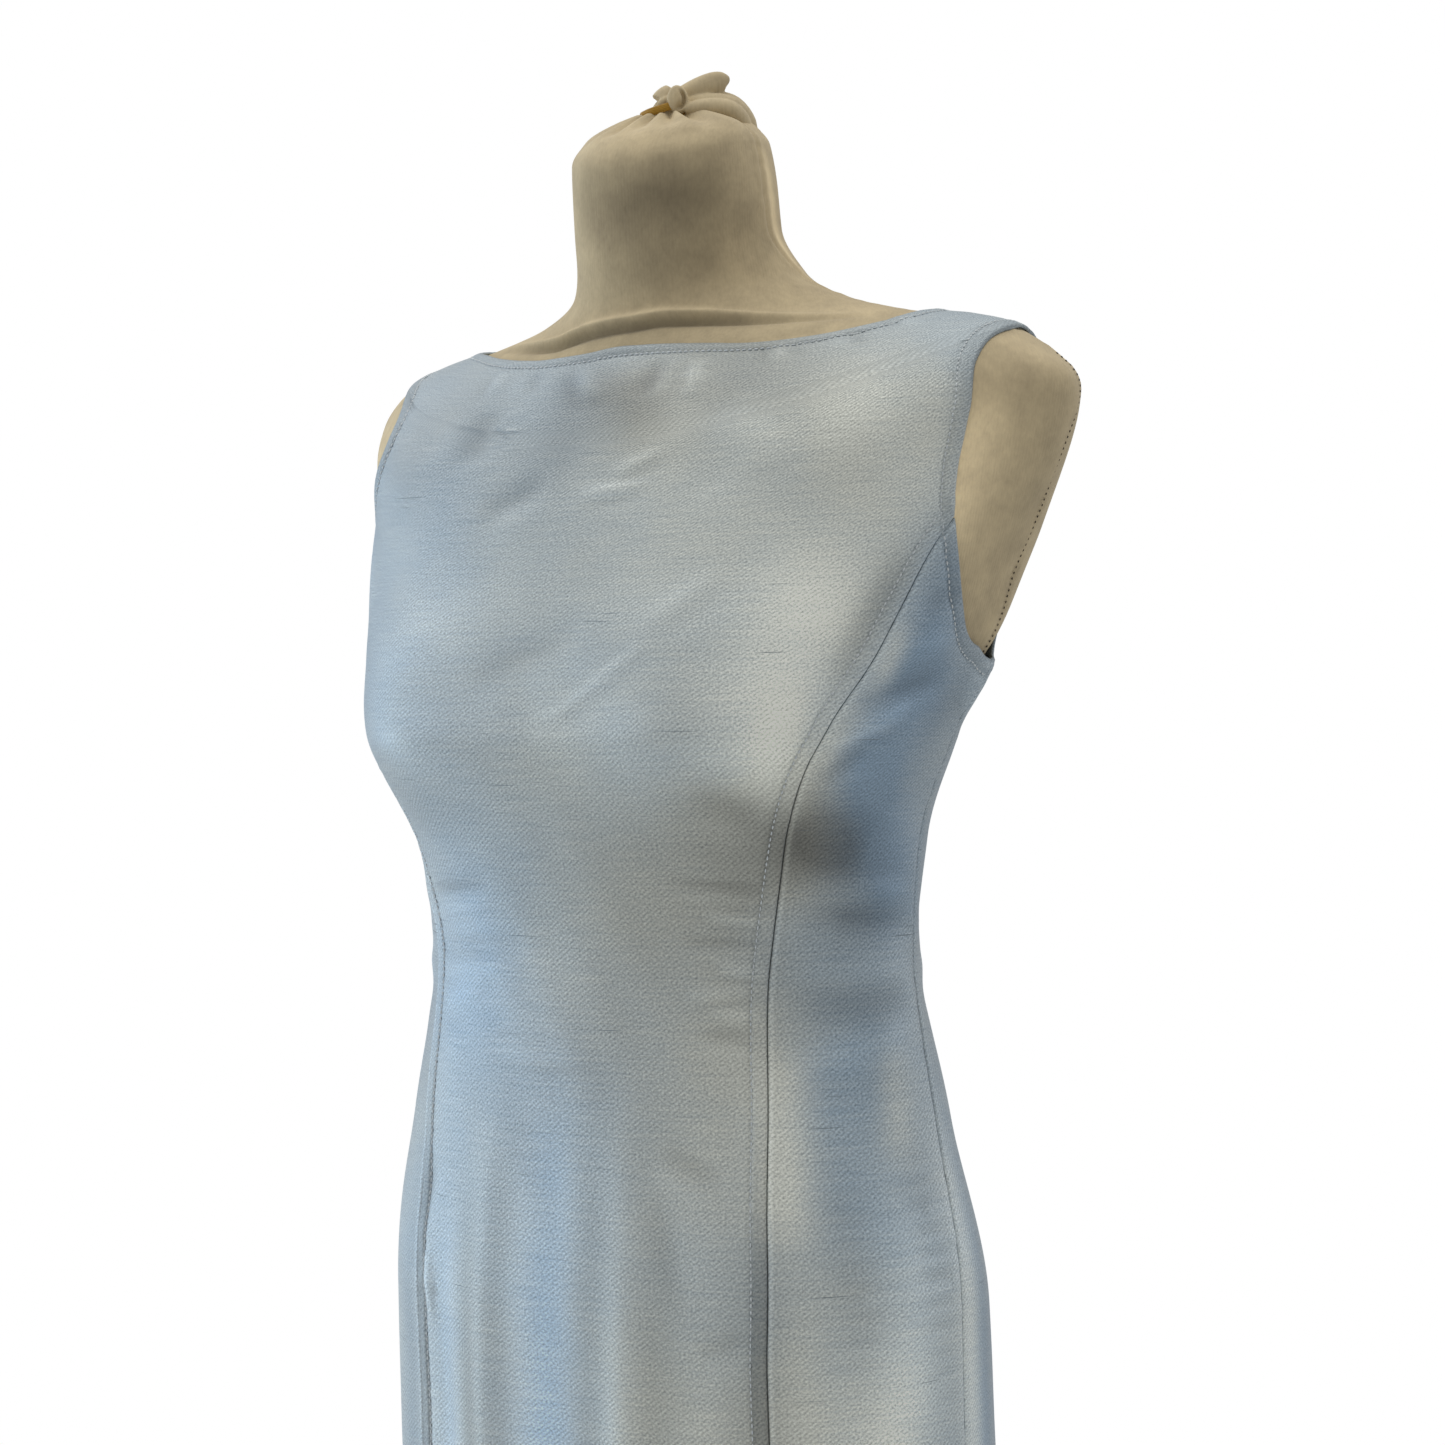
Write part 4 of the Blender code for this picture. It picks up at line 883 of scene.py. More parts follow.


# How far the cloth lies double from an edge or seam, and how much painted shade it gets there, in its stitched
# groove and at its rim.
EDGE_PAINTED_SHADE = {
    "neck": (NECK_STITCH, 0.07, 0.06, 0.10), "armhole": (ARMHOLE_STITCH, 0.14, 0.12, 0.26),
    "stitched": (SEAM_STITCH, 0.02, 0.14, 0.06),
}


def edge_painted_tone(points, edges):
    """Painted shade where the cloth lies double along an edge, in its groove and at its rim,
    and a painted highlight on a seam's free lip.
    """
    painted_light = np.zeros(points.shape[:-1])
    for label, kind in edges:
        away = along_line(points, LINES[label], 0.02)[0]
        if kind in EDGE_PAINTED_SHADE:
            width, doubled, groove, rim = EDGE_PAINTED_SHADE[kind]
            # painted shade over the doubled strip, strongest on the skirt, and in the groove and at the rim
            shade = doubled * (1 - smooth_step(away, width - 0.001, width + 0.001))
            if kind == "stitched":      # the doubled strip shows most on the skirt
                shade *= 1 + 17 * smooth_step(-points[..., 2], -0.95, -0.80)
            painted_light -= shade
            painted_light -= groove * bell(away - width, 0.0012) + rim * bell(away, 0.0011)
        elif kind == "plain":
            # a painted highlight on the free lip beside the seam
            painted_light += 0.22 * bell(away - 0.0018, 0.0010)
    return painted_light


def panel_rows(start):
    """Ring numbers of a panel's rows, closest together where an edge or a corner is."""
    neck = [0, 0.012, 0.03, 0.06, 0.1, 0.14, 0.18, 0.22, 0.26, 0.3, 0.34, 0.38, 0.44]
    yoke = np.concatenate([np.linspace(0.5, 1.7, 13)[:-1], 1.7 + 0.3 * np.linspace(0, 1, 10)[:-1] ** 1.6])
    arm = 2 + (JUNCTION - 2) * np.linspace(0, 1, 34) ** 1.8
    underarm = ARMPIT - (ARMPIT - JUNCTION) * np.linspace(1, 0, 30) ** 1.8
    body = [np.linspace(ARMPIT, 7, 34)[1:], np.linspace(7, 11, 112)[1:], np.linspace(11, 11.86, 44)[1:]]
    hem = [11.875, 11.885, 11.9, 11.925, 11.95, 11.97, 11.985, 11.994, 11.998, HEM]
    rows = np.concatenate([neck, yoke, arm[:-1], underarm, *body, hem])
    return rows if start == 0 else np.concatenate([[start], rows[rows > start + 0.004]])


# How far in from a panel's edge its first columns of points lie.
EDGE_STEPS = np.array([
    0, 0.0005, 0.0011, 0.002, 0.0035, 0.0055, 0.0068, 0.0076, 0.0084, 0.0092, 0.0101, 0.012, 0.0145,
])


def panel_grid(rows, start, end, middle_count):
    """Ring and angle grids of a panel between two edge angles, with columns at fixed steps in from each edge."""
    dense = start[:, None] + (end - start)[:, None] * np.linspace(0, 1, 161)
    path = dress_surface(rows[:, None], dense)
    length = np.zeros(dense.shape)
    length[:, 1:] = np.cumsum(np.linalg.norm(np.diff(path, axis=1), axis=-1), axis=1)
    angle = np.empty((len(rows), 2 * len(EDGE_STEPS) + middle_count))
    for row, (run, angles) in enumerate(zip(length, dense)):
        whole = run[-1]
        steps = EDGE_STEPS * min(1.0, 0.42 * whole / EDGE_STEPS[-1])
        inner = np.linspace(steps[-1], whole - steps[-1], middle_count + 2)[1:-1]
        angle[row] = np.interp(np.concatenate([steps, inner, whole - steps[::-1]]), run, angles)
    return np.broadcast_to(rows[:, None], angle.shape), angle


def half_gap(ring, angle):
    """Half the gap at a seam, in degrees round the body."""
    reach = np.linalg.norm(dress_surface(ring, angle + 0.5) - dress_surface(ring, angle - 0.5), axis=-1)
    return SEAM_GAP / 2 / reach


def outer_edge(rows, armhole, side):
    """Angle of a panel's outer edge: the shoulder seam, then the armhole, then the side seam."""
    shoulder = 90 + side * half_gap(rows, np.full(len(rows), 90.0))
    seam = read_table(SIDE_SEAM, rows)
    seam = seam + side * half_gap(rows, seam)
    inside = np.minimum if side < 0 else np.maximum
    hole = read_table(armhole, rows)
    hole = np.where(rows < JUNCTION, inside(hole, shoulder), inside(hole, seam))
    return np.where(rows <= armhole[0][0], shoulder, np.where(rows < ARMPIT, hole, seam))


# Satin twill of slubbed silk and viscose: smooth and lustrous along its threads, with fine diagonal lines, level
# slubs and a sparkle of bright threads. Its blue where it turns away and silver where it faces the light is painted
# sheen laid on each panel by place, and so is much of its light and shade.
SHOT_BLUE = "#8BA4BC"
SHOT_SILVER = "#C5C9C4"
SLUB_GREY = "#687682"
TWILL_PITCH = 0.0022       # the real twill lines are about 1 mm apart, too fine to show here
TWILL_RISE = 38.0          # degrees by which a twill line climbs
satin, tree, shader = start_material(
    "slubbed_satin_twill", roughness=0.48, metallic=0.25, sheen_weight=0.22, sheen_roughness=0.40,
    sheen_tint=(0.70, 0.82, 1.0, 1.0), anisotropic=0.5, specular_ior_level=0.5,
)
cut = add_node(tree, "ShaderNodeTexCoord").outputs["UV"]
place = add_node(tree, "ShaderNodeTexCoord").outputs["Object"]
twill = stripes(tree, cut, TWILL_PITCH, TWILL_RISE)
weft = drawn_out(tree, cut, 30.0, 620.0, 3.0)
spark = drawn_out(tree, cut, 760.0, 900.0, 2.0, 0.6)
slub = drawn_out(tree, cut, 17.0, 640.0, 1.0)
slubs = add_node(tree, "ShaderNodeMapRange", {"Value": slub, "From Min": 0.755, "From Max": 0.800})
cloud = add_node(tree, "ShaderNodeTexNoise", {"Vector": place, "Scale": 13.0, "Detail": 3.0})

# Its hue, from the blue warp to the silver weft: painted sheen laid on by place, with random cloud and specks.
painted_sheen_hue = add_node(tree, "ShaderNodeAttribute", attribute_name="painted_sheen_hue").outputs["Fac"]
mixed = summed(tree, painted_sheen_hue, (cloud, 0.5), (spark, 0.45), (weft, 0.35))
share = add_node(tree, "ShaderNodeMath", {0: mixed, 1: -0.15}, operation="ADD", use_clamp=True)
tone = add_node(tree, "ShaderNodeMix", {
    "Factor": share, 6: linear(SHOT_BLUE), 7: linear(SHOT_SILVER),
}, data_type="RGBA")

# How bright it is: specks, twill lines and streaks, taken times the painted light and shade laid on each panel.
speck = add_node(tree, "ShaderNodeMapRange", {
    "Value": spark, "From Min": 0.32, "From Max": 0.70, "To Min": 0.73, "To Max": 1.29,
})
streaks = summed(tree, speck, (twill, 0.110), (weft, 0.22))
grain = add_node(tree, "ShaderNodeMath", {0: streaks, 1: -0.12}, operation="ADD")
# painted light and shade laid on each panel's points
painted_light = add_node(tree, "ShaderNodeAttribute", attribute_name="painted_light").outputs["Fac"]
lit_by = add_node(tree, "ShaderNodeMath", {0: painted_light, 1: 1.0}, operation="ADD")
shine = add_node(tree, "ShaderNodeMath", {0: grain, 1: lit_by}, operation="MULTIPLY")
bright = add_node(tree, "ShaderNodeVectorMath", {0: tone, 3: shine}, operation="SCALE")
slubbed = add_node(tree, "ShaderNodeMix", {"Factor": slubs, 6: bright, 7: linear(SLUB_GREY)}, data_type="RGBA")
gloss = add_node(tree, "ShaderNodeMapRange", {
    "Value": spark, "From Min": 0.3, "From Max": 0.7, "To Min": 0.52, "To Max": 0.36,
})
raised = summed(tree, spark, (twill, 0.15), (slubs, 1.2), (weft, 0.8))
bump = add_node(tree, "ShaderNodeBump", {"Height": raised, "Strength": 0.32, "Distance": 0.0005})
feed(shader, {"Base Color": slubbed, "Roughness": gloss, "Normal": bump})

# Painted sheen and painted light and shade on the satin: where its hue is painted towards the silver (above zero)
# or the blue, and how much painted light (above zero) or shade it gets: ring and angle of both ends of a stretch,
# hue, light, reach.
SATIN_PAINTED_SHEEN = (
    # shoulders and chest
    (1.6, -28, 2.6, -24, -0.1, -0.14, 0.045), (3.4, -22, 4.2, -18, -0.08, 0.22, 0.045),
    (0.9, 6, 1.7, 9, 0.16, -0.12, 0.02), (1.9, 2, 2.1, 11, 0.05, -0.16, 0.026),
    (0.9, 28, 2.6, 38, 0.22, 0, 0.05), (0.9, -4, 2.2, -3, -0.05, -0.14, 0.02),
    (1.5, 24, 2.4, 26, 0, -0.08, 0.018), (0.6, -3, 1.1, 9, 0.05, -0.26, 0.02),
    (0.8, 20, 1.8, 52, 0.06, -0.36, 0.04), (2.5, 16, 3.4, 24, 0.22, 0.12, 0.045),
    (2.5, 46, 3.5, 58, 0.2, 0.34, 0.036), (3.5, 28, 4, 50, 0.05, 0.14, 0.03),
    (2.3, 61, 3.4, 58, 0.2, 0.06, 0.014), (3.9, 52, 4.6, 46, 0.25, 0.16, 0.04),
    (4.1, 60, 5.5, 56.5, 0.05, -0.22, 0.009), (4.7, 46, 5.9, 43, 0.28, 0.6, 0.036),
    (5.9, 49, 6.45, 49, 0.25, 0.25, 0.016), (4.6, 18, 5.4, 26, 0.2, 0.12, 0.045),
    (5, -16, 5.6, -14, -0.02, 0.28, 0.04), (4.2, -2, 5.4, 2, 0.1, 0.1, 0.04),
    (2.9, 4, 3.6, 10, 0.15, 0.08, 0.04),
    # under the bust and at the waist
    (6.9, -24, 7.2, -22, -0.15, -0.14, 0.035), (6.5, 2, 7.1, 14, 0.2, -0.1, 0.045),
    (6.75, 34, 7.2, 43, 0.4, -0.28, 0.028), (6.72, 44, 6.85, 50, 0.3, -0.18, 0.014),
    (6.45, 58, 7.25, 54.5, 0.3, -0.17, 0.019), (6.65, 56, 7, 62, 0.2, -0.06, 0.028),
    (7, 66, 7.35, 72, 0.2, -0.1, 0.026), (7, 70, 7.2, 76, -0.25, -0.12, 0.025),
    (7.9, -28, 8.3, -28, -0.22, 0.16, 0.045), (7.6, 10, 8.4, 12, 0.15, -0.06, 0.05),
    (7.7, 30, 8.4, 39, 0.32, -0.06, 0.04), (7.7, 74, 8.2, 75, -0.2, -0.1, 0.045),
    # side front above the waist
    (4.4, 72, 5.2, 75, -0.35, -0.16, 0.028), (5.7, 82, 6.4, 74, -0.4, 0.02, 0.035),
    (5.5, 92, 5.9, 88, -0.1, -0.16, 0.014), (4.9, 68, 5.5, 68, 0.35, 0.18, 0.008),
    (5.9, 64, 6.4, 60, 0.3, 0.1, 0.01), (6.6, 78, 7.3, 84, -0.3, -0.05, 0.03),
    # skirt, front
    (9, -31, 9.6, -31, -0.15, 0.02, 0.025), (9.4, -29, 12.6, -28, -0.26, 0.46, 0.014),
    (9.2, -18.5, 12.4, -18.5, 0.16, -0.36, 0.012), (8.8, -43, 12.4, -43, -0.1, -0.16, 0.012),
    (9.1, -9, 12.6, -9, 0, 0.2, 0.012), (8.6, -0.6, 12.6, -5, -0.38, 0.95, 0.0165),
    (8.9, 17, 12.4, 18, 0.3, 0.06, 0.03), (8.6, 36, 9.3, 32, 0.24, 0.12, 0.04),
    (9.6, 30, 12.4, 28, 0.4, -0.08, 0.04),
    # skirt, side
    (8.5, 47, 9.6, 44, 0.34, 0.3, 0.016), (9.5, 45, 12.2, 43, 0.32, 0.08, 0.016),
    (8.7, 60, 9.4, 60, -0.26, 0.22, 0.03), (9.4, 55, 12.4, 58, 0.26, 0.34, 0.032),
    (8.5, 79, 9.2, 73, 0.3, 0.12, 0.012), (9.3, 76, 10.8, 76, -0.02, 0.34, 0.026),
    (9.9, 66, 12.4, 64, 0.36, 0.5, 0.022), (8.9, 91, 12.4, 94, 0.25, 0.56, 0.013),
    (8.6, 98, 11.5, 101, -0.25, 0, 0.012),
    # wearer's right side and the back
    (4.5, -70, 5.5, -72, -0.2, -0.1, 0.04), (9.3, -72, 10.8, -68, 0.3, 0.2, 0.04),
    (9, -95, 11, -92, -0.2, 0.05, 0.03), (2.2, 150, 4, 158, 0.3, 0.18, 0.07),
    (5, 125, 6.2, 130, -0.2, -0.1, 0.05), (6.8, 150, 7.6, 165, 0.25, -0.12, 0.045),
    (8.8, 158, 11.4, 156, 0.3, 0.2, 0.035), (8.8, 128, 11.4, 126, -0.25, -0.06, 0.04),
    (2.4, -152, 4.2, -140, 0.25, 0.15, 0.07), (5.2, -128, 6.4, -124, -0.15, -0.12, 0.05),
    (6.9, -160, 7.5, -140, 0.2, -0.12, 0.045), (8.8, -146, 11.4, -142, -0.3, 0.25, 0.03),
    (8.8, -168, 11.2, -166, 0.3, 0.1, 0.035), (9, -118, 11.2, -114, 0.28, 0.06, 0.04),
)


def add_panel(name, node, rows, start, end, middle_count, edges, flat, area):
    """One panel of thin cloth between two edge angles, in the place of its solid."""
    ring, angle = panel_grid(rows, start, end, middle_count)
    plain = dress_surface(ring, angle)
    points = plain + cloth_rise(plain, edges)[..., None] * outward(dress_surface, ring, angle)
    made = grid_object(name, points, satin)
    # painted sheen hue and painted light and shade on the satin, from its table
    painted_tones = lay_painted_tones(dress_surface, plain, SATIN_PAINTED_SHEEN)
    set_amount(made, "painted_sheen_hue", painted_tones[..., 0])
    # painted highlight on each crease's ridge and painted shade in its trough
    crease_painted_light = np.clip(105 * crease_rise(plain), -0.22, 0.22)
    set_amount(made, "painted_light", painted_tones[..., 1] + crease_painted_light + edge_painted_tone(plain, edges))
    thickened(made, CLOTH_THICKNESS)
    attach(made, "dress_on_form")
    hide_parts(node)


def armhole_edge(rows, label):
    """Angle of the front centre panel's edge on one side: shoulder, armhole, then princess seam."""
    princess = read_table(PRINCESS_SEAM, rows)
    outer = outer_edge(rows, FRONT_ARMHOLE[label], -1)
    return np.where(rows > JUNCTION, princess - half_gap(rows, princess), outer)


def edges_on(side, nearer, further):
    """The two edge angles of a panel on one side of the body, in the order that they go round it."""
    return (nearer, further) if side > 0 else (-further, -nearer)


rows = panel_rows(0)
front_edges = [("neckline", "neck"), ("hem", "hem")]
for label in ("left", "right"):
    front_edges += [
        ("shoulder_" + label, "open"), ("front_armhole_" + label, "armhole"), ("princess_" + label, "stitched"),
    ]
add_panel(
    "front_centre_cloth", "front_centre_panel", rows, -armhole_edge(rows, "right"), armhole_edge(rows, "left"), 92,
    front_edges, (0.40, 0.95), 0.27,
)
side_rows = panel_rows(JUNCTION + 0.02)
princess = read_table(PRINCESS_SEAM, side_rows)
inner = princess + half_gap(side_rows, princess)
outer = outer_edge(side_rows, FRONT_ARMHOLE["left"], -1)
back_centre = 180 - half_gap(rows, np.full(len(rows), 179.0))
for label, side in (("left", 1), ("right", -1)):
    side_edges = [
        ("hem", "hem"), ("front_armhole_" + label, "armhole"), ("princess_" + label, "plain"),
        ("side_" + label, "open"),
    ]
    add_panel(
        f"side_front_{label}_cloth", f"side_front_{label}", side_rows, *edges_on(side, inner, outer), 30,
        side_edges, (0.13, 0.84), 0.08,
    )
    back_edges = [
        ("neckline", "neck"), ("hem", "hem"), ("shoulder_" + label, "open"), ("back_armhole_" + label, "armhole"),
        ("side_" + label, "open"), ("centre_back", "open"),
    ]
    back_outer = outer_edge(rows, BACK_ARMHOLE[label], 1)
    add_panel(
        f"back_{label}_cloth", f"back_{label}", rows, *edges_on(side, back_outer, back_centre), 62,
        back_edges, (0.27, 0.95), 0.21,
    )


# Dress topstitching
# One row of polyester lockstitch holds each turned-in edge and each princess seam, with small bright
# stitches that sink a little into the cloth. The zip is stitched in down both sides of the back seam.
THREAD_PALE = "#DDE3E7"
THREAD_SHADE = "#C4CED6"
STITCH_PITCH = 0.0034
STITCH_LENGTH = 0.0024
STITCH_WIDTH = 0.0010
STITCH_LIFT = 0.00035      # of a stitch's middle over the cloth
ZIP_STITCH = 0.0065
ZIP_END_RING = 9.3


def step_aside(surface, ring, angle, distance):
    """Ring and angle of a line on a surface, moved over by a distance to its own left in a few closing steps."""
    points = surface(ring, angle)
    ahead = np.gradient(points, axis=0)
    ahead /= np.linalg.norm(ahead, axis=-1, keepdims=True)
    target = points + distance * np.cross(outward(surface, ring, angle), ahead)
    moved_ring, moved_angle = ring.astype(float).copy(), angle.astype(float).copy()
    for _ in range(5):
        here = surface(moved_ring, moved_angle)
        by_ring = (surface(moved_ring + 1e-3, moved_angle) - here) / 1e-3
        by_angle = (surface(moved_ring, moved_angle + 0.01) - here) / 0.01
        left = target - here
        a, b, c = (by_ring**2).sum(-1), (by_ring * by_angle).sum(-1), (by_angle**2).sum(-1)
        d, e = (by_ring * left).sum(-1), (by_angle * left).sum(-1)
        whole = np.maximum(a * c - b * b, 1e-14)
        moved_ring += np.clip((c * d - b * e) / whole, -0.2, 0.2)
        moved_angle += np.clip((a * e - b * d) / whole, -4, 4)
    return moved_ring, moved_angle


def line_object(name, lines, finish):
    """Open lines of points as a mesh of edges, each point with the way out of the cloth."""
    points = np.concatenate([line for line, _ in lines])
    facing = np.concatenate([way for _, way in lines])
    edges, first = [], 0
    for line, _ in lines:
        edges += [(first + i, first + i + 1) for i in range(len(line) - 1)]
        first += len(line)
    mesh = bpy.data.meshes.new(name)
    mesh.from_pydata(points.tolist(), edges, [])
    mesh.attributes.new("out", "FLOAT_VECTOR", "POINT").data.foreach_set("vector", facing.ravel().astype(np.float32))
    mesh.materials.append(finish)
    made = bpy.data.objects.new(name, mesh)
    bpy.context.scene.collection.objects.link(made)
    return made


# Polyester sewing thread: a tight, slightly glossy twist.
thread, tree, shader = start_material("polyester_thread", roughness=0.45, sheen_weight=0.2, specular_ior_level=0.5)
place = add_node(tree, "ShaderNodeTexCoord").outputs["Object"]
twist = add_node(tree, "ShaderNodeTexNoise", {"Vector": place, "Scale": 900.0, "Detail": 1.0})
tone = add_node(tree, "ShaderNodeMix", {
    "Factor": twist, 6: linear(THREAD_SHADE), 7: linear(THREAD_PALE),
}, data_type="RGBA")
feed(shader, {"Base Color": tone})

# Stitches set along lines, each turned along its line and laid flat on the cloth.
stitch_group, given, result = start_node_group("stitches_on_lines", (
    ("Pitch", "NodeSocketFloat"), ("Length", "NodeSocketFloat"), ("Width", "NodeSocketFloat"),
    ("Finish", "NodeSocketMaterial"),
))
curve = add_node(stitch_group, "GeometryNodeMeshToCurve", {0: given.outputs["Geometry"]})
spaced = add_node(stitch_group, "GeometryNodeResampleCurve", {
    "Curve": curve, "Length": given.outputs["Pitch"],
}, mode="LENGTH")
bead = add_node(stitch_group, "GeometryNodeMeshUVSphere", {"Segments": 6, "Rings": 4, "Radius": 0.5})
size = add_node(stitch_group, "ShaderNodeCombineXYZ", {
    "X": given.outputs["Width"], "Y": given.outputs["Width"], "Z": given.outputs["Length"],
})
stitch = add_node(stitch_group, "GeometryNodeTransform", {"Geometry": bead, "Scale": size})
tangent = add_node(stitch_group, "GeometryNodeInputTangent")
way_out = add_node(stitch_group, "GeometryNodeInputNamedAttribute", {"Name": "out"}, data_type="FLOAT_VECTOR")
turn = add_node(stitch_group, "FunctionNodeAxesToRotation", {
    0: tangent, 1: way_out.outputs[0],
}, primary_axis="Z", secondary_axis="X")
laid = add_node(stitch_group, "GeometryNodeInstanceOnPoints", {
    "Points": spaced, "Instance": stitch, "Rotation": turn,
})
end_node_group(stitch_group, given, result, laid)

all_edges = [("neckline", "neck"), ("hem", "hem"), ("centre_back", "open")]
for label in ("left", "right"):
    all_edges += [
        ("shoulder_" + label, "open"), ("front_armhole_" + label, "armhole"), ("back_armhole_" + label, "armhole"),
        ("princess_" + label, "stitched"), ("side_" + label, "open"),
    ]


def stitch_line(ring, angle, distance, clear_of=()):
    """A row of stitching beside a seam or edge: its points on the cloth, and the way out at each."""
    ring, angle = step_aside(dress_surface, ring, angle, distance)
    plain = dress_surface(ring, angle)
    way = outward(dress_surface, ring, angle)
    points = plain + (cloth_rise(plain, all_edges) + STITCH_LIFT)[:, None] * way
    keep = np.ones(len(points), bool)
    for label, gap in clear_of:
        keep &= along_line(plain, LINES[label])[0] > gap
    return points[keep], way[keep]


around = np.linspace(-178.4, 178.4, 420)
stitch_lines = [stitch_line(np.zeros(len(around)), around, -NECK_STITCH)]
zip_rings = np.linspace(0.08, ZIP_END_RING, 420)
for side in (1, -1):
    stitch_lines.append(stitch_line(zip_rings, np.full(len(zip_rings), side * 179.8), -side * ZIP_STITCH))
for label, side in (("left", 1), ("right", -1)):
    down = HOLE_RINGS[label]
    hole = np.concatenate([down, down[::-1][1:]])
    hole_angle = side * np.concatenate([
        read_table(FRONT_ARMHOLE[label], down), read_table(BACK_ARMHOLE[label], down)[::-1][1:],
    ])
    stitch_lines.append(stitch_line(hole, hole_angle, -side * ARMHOLE_STITCH))
    seam = np.linspace(JUNCTION, 11.98, 420)
    seam_angle = side * read_table(PRINCESS_SEAM, seam)
    clear_of = (("front_armhole_" + label, ARMHOLE_STITCH + 0.0005),)
    stitch_lines.append(stitch_line(seam, seam_angle, -side * SEAM_STITCH, clear_of))
topstitching = grown(
    "dress_topstitching", line_object("topstitch_lines", stitch_lines, thread), stitch_group,
    {"Pitch": STITCH_PITCH, "Length": STITCH_LENGTH, "Width": STITCH_WIDTH, "Finish": thread},
)
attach(topstitching, "dress_on_form")


# Cover seam stitching
# The cover's side seams are overstitched over the ends of the shoulders with a dark brown cotton thread, in small
# stitches that lie along the seam.
THREAD_BROWN = "#4A4034"
COVER_STITCH = {"Pitch": 0.0032, "Length": 0.0015, "Width": 0.0008}
COVER_STITCH_SHIFT = 0.0006        # to one side of the seam
COVER_STITCH_LIFT = 0.0002

# Cotton thread: matt and a little hairy.
brown_thread = start_material("cotton_thread", base_color=linear(THREAD_BROWN), roughness=0.8, sheen_weight=0.2)[0]
cover_lines = []
over_arm = np.linspace(10.5, 13.4, 200)
for side in (-1, 1):
    seam_angle = side * read_table(COVER_SEAM, over_arm)
    ring, angle = step_aside(form_surface, over_arm, seam_angle, side * COVER_STITCH_SHIFT)
    way = outward(form_surface, ring, angle)
    cover_lines.append((form_surface(ring, angle) + way * COVER_STITCH_LIFT, way))
cover_stitching = grown(
    "cover_seam_stitching", line_object("cover_stitch_lines", cover_lines, brown_thread), stitch_group,
    {**COVER_STITCH, "Finish": brown_thread},
)
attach(cover_stitching, "dress_on_form")


# Gathered end of the cover
# The top of the cover is bunched up and held by an elastic, so that the spare jersey above it lies in folds:
# a rolled end that faces the front, a flap that leans over to one side, and soft folds under the flap.
# The gather's sizes are from the middle of its foot: across to the picture's right, towards its front, and up.
GATHER_FOOT = (0.004, 0.008, 1.4525)
GATHER_TURN = 33.6         # degrees from the part's own front to the picture's
GATHER_CUT = (0.83, 0.55)  # the picture's way across, along which its wales are counted
FOLD_VOXEL = 0.0006

# Each fold is a soft tube: points along it, with its half height and half depth at each.
GATHER_FOLDS = (
    # throat inside the elastic
    ((-0.004, 0, -0.006, 0.015, 0.011), (-0.003, 0, 0.001, 0.0135, 0.0105), (0.002, 0, 0.007, 0.011, 0.009)),
    # the slope at the left, with the small fold in front of it
    ((0.002, -0.002, 0.006, 0.0064, 0.006), (-0.005, -0.002, 0.0045, 0.0052, 0.006),
     (-0.0105, -0.001, 0.0005, 0.004, 0.005), (-0.0135, -0.001, -0.003, 0.0024, 0.003)),
    ((-0.002, 0.006, 0.006, 0.003, 0.0036), (-0.0065, 0.007, 0.004, 0.003, 0.0036),
     (-0.0105, 0.006, 0.0015, 0.002, 0.0026)),
    # the flap, which leans up to the right
    ((0.002, 0.001, 0.005, 0.0075, 0.007), (0.008, 0.001, 0.009, 0.007, 0.0072),
     (0.015, 0, 0.0128, 0.0068, 0.0066), (0.0205, -0.001, 0.015, 0.0066, 0.0056),
     (0.0245, -0.001, 0.016, 0.0056, 0.0042), (0.027, -0.001, 0.016, 0.0042, 0.0028),
     (0.0284, -0.001, 0.0156, 0.0022, 0.0014), (0.0288, -0.001, 0.0154, 0.0006, 0.0004)),
    # three folds that lie over the crown's right, one behind the other
    ((0.005, 0.011, -0.002, 0.0035, 0.005), (0.012, 0.012, -0.0016, 0.0052, 0.007),
     (0.02, 0.01, -0.0016, 0.0062, 0.009), (0.028, 0.007, -0.003, 0.007, 0.01),
     (0.0345, 0.003, -0.009, 0.0064, 0.0085), (0.037, -0.001, -0.02, 0.004, 0.005)),
    ((0.005, 0.005, 0.001, 0.0055, 0.005), (0.012, 0.005, 0.0018, 0.0062, 0.007),
     (0.02, 0.004, 0.0016, 0.007, 0.009), (0.028, 0.001, 0, 0.0078, 0.01),
     (0.0355, -0.003, -0.0065, 0.0078, 0.009), (0.039, -0.007, -0.018, 0.005, 0.006)),
    ((0.004, -0.003, 0.002, 0.007, 0.006), (0.012, -0.004, 0.0036, 0.0078, 0.008),
     (0.02, -0.005, 0.003, 0.0088, 0.01), (0.028, -0.007, 0.0006, 0.0098, 0.011),
     (0.035, -0.01, -0.007, 0.0092, 0.0105), (0.0385, -0.012, -0.019, 0.006, 0.007)),
    # two folds at the back
    ((0.002, -0.004, 0.002, 0.006, 0.0055), (0.008, -0.01, 0.003, 0.006, 0.006),
     (0.014, -0.018, -0.002, 0.0056, 0.006)),
    ((-0.002, -0.005, 0, 0.0055, 0.0054), (-0.005, -0.012, 0.0005, 0.005, 0.0056),
     (-0.005, -0.02, -0.004, 0.0044, 0.005)),
)
# The rolled end: the middle of its mouth, its half width and half height, and how deep its crease goes.
ROLLED_END = (0.0004, 0.0140, 0.0036, 0.0056, 0.0084, 0.0052)
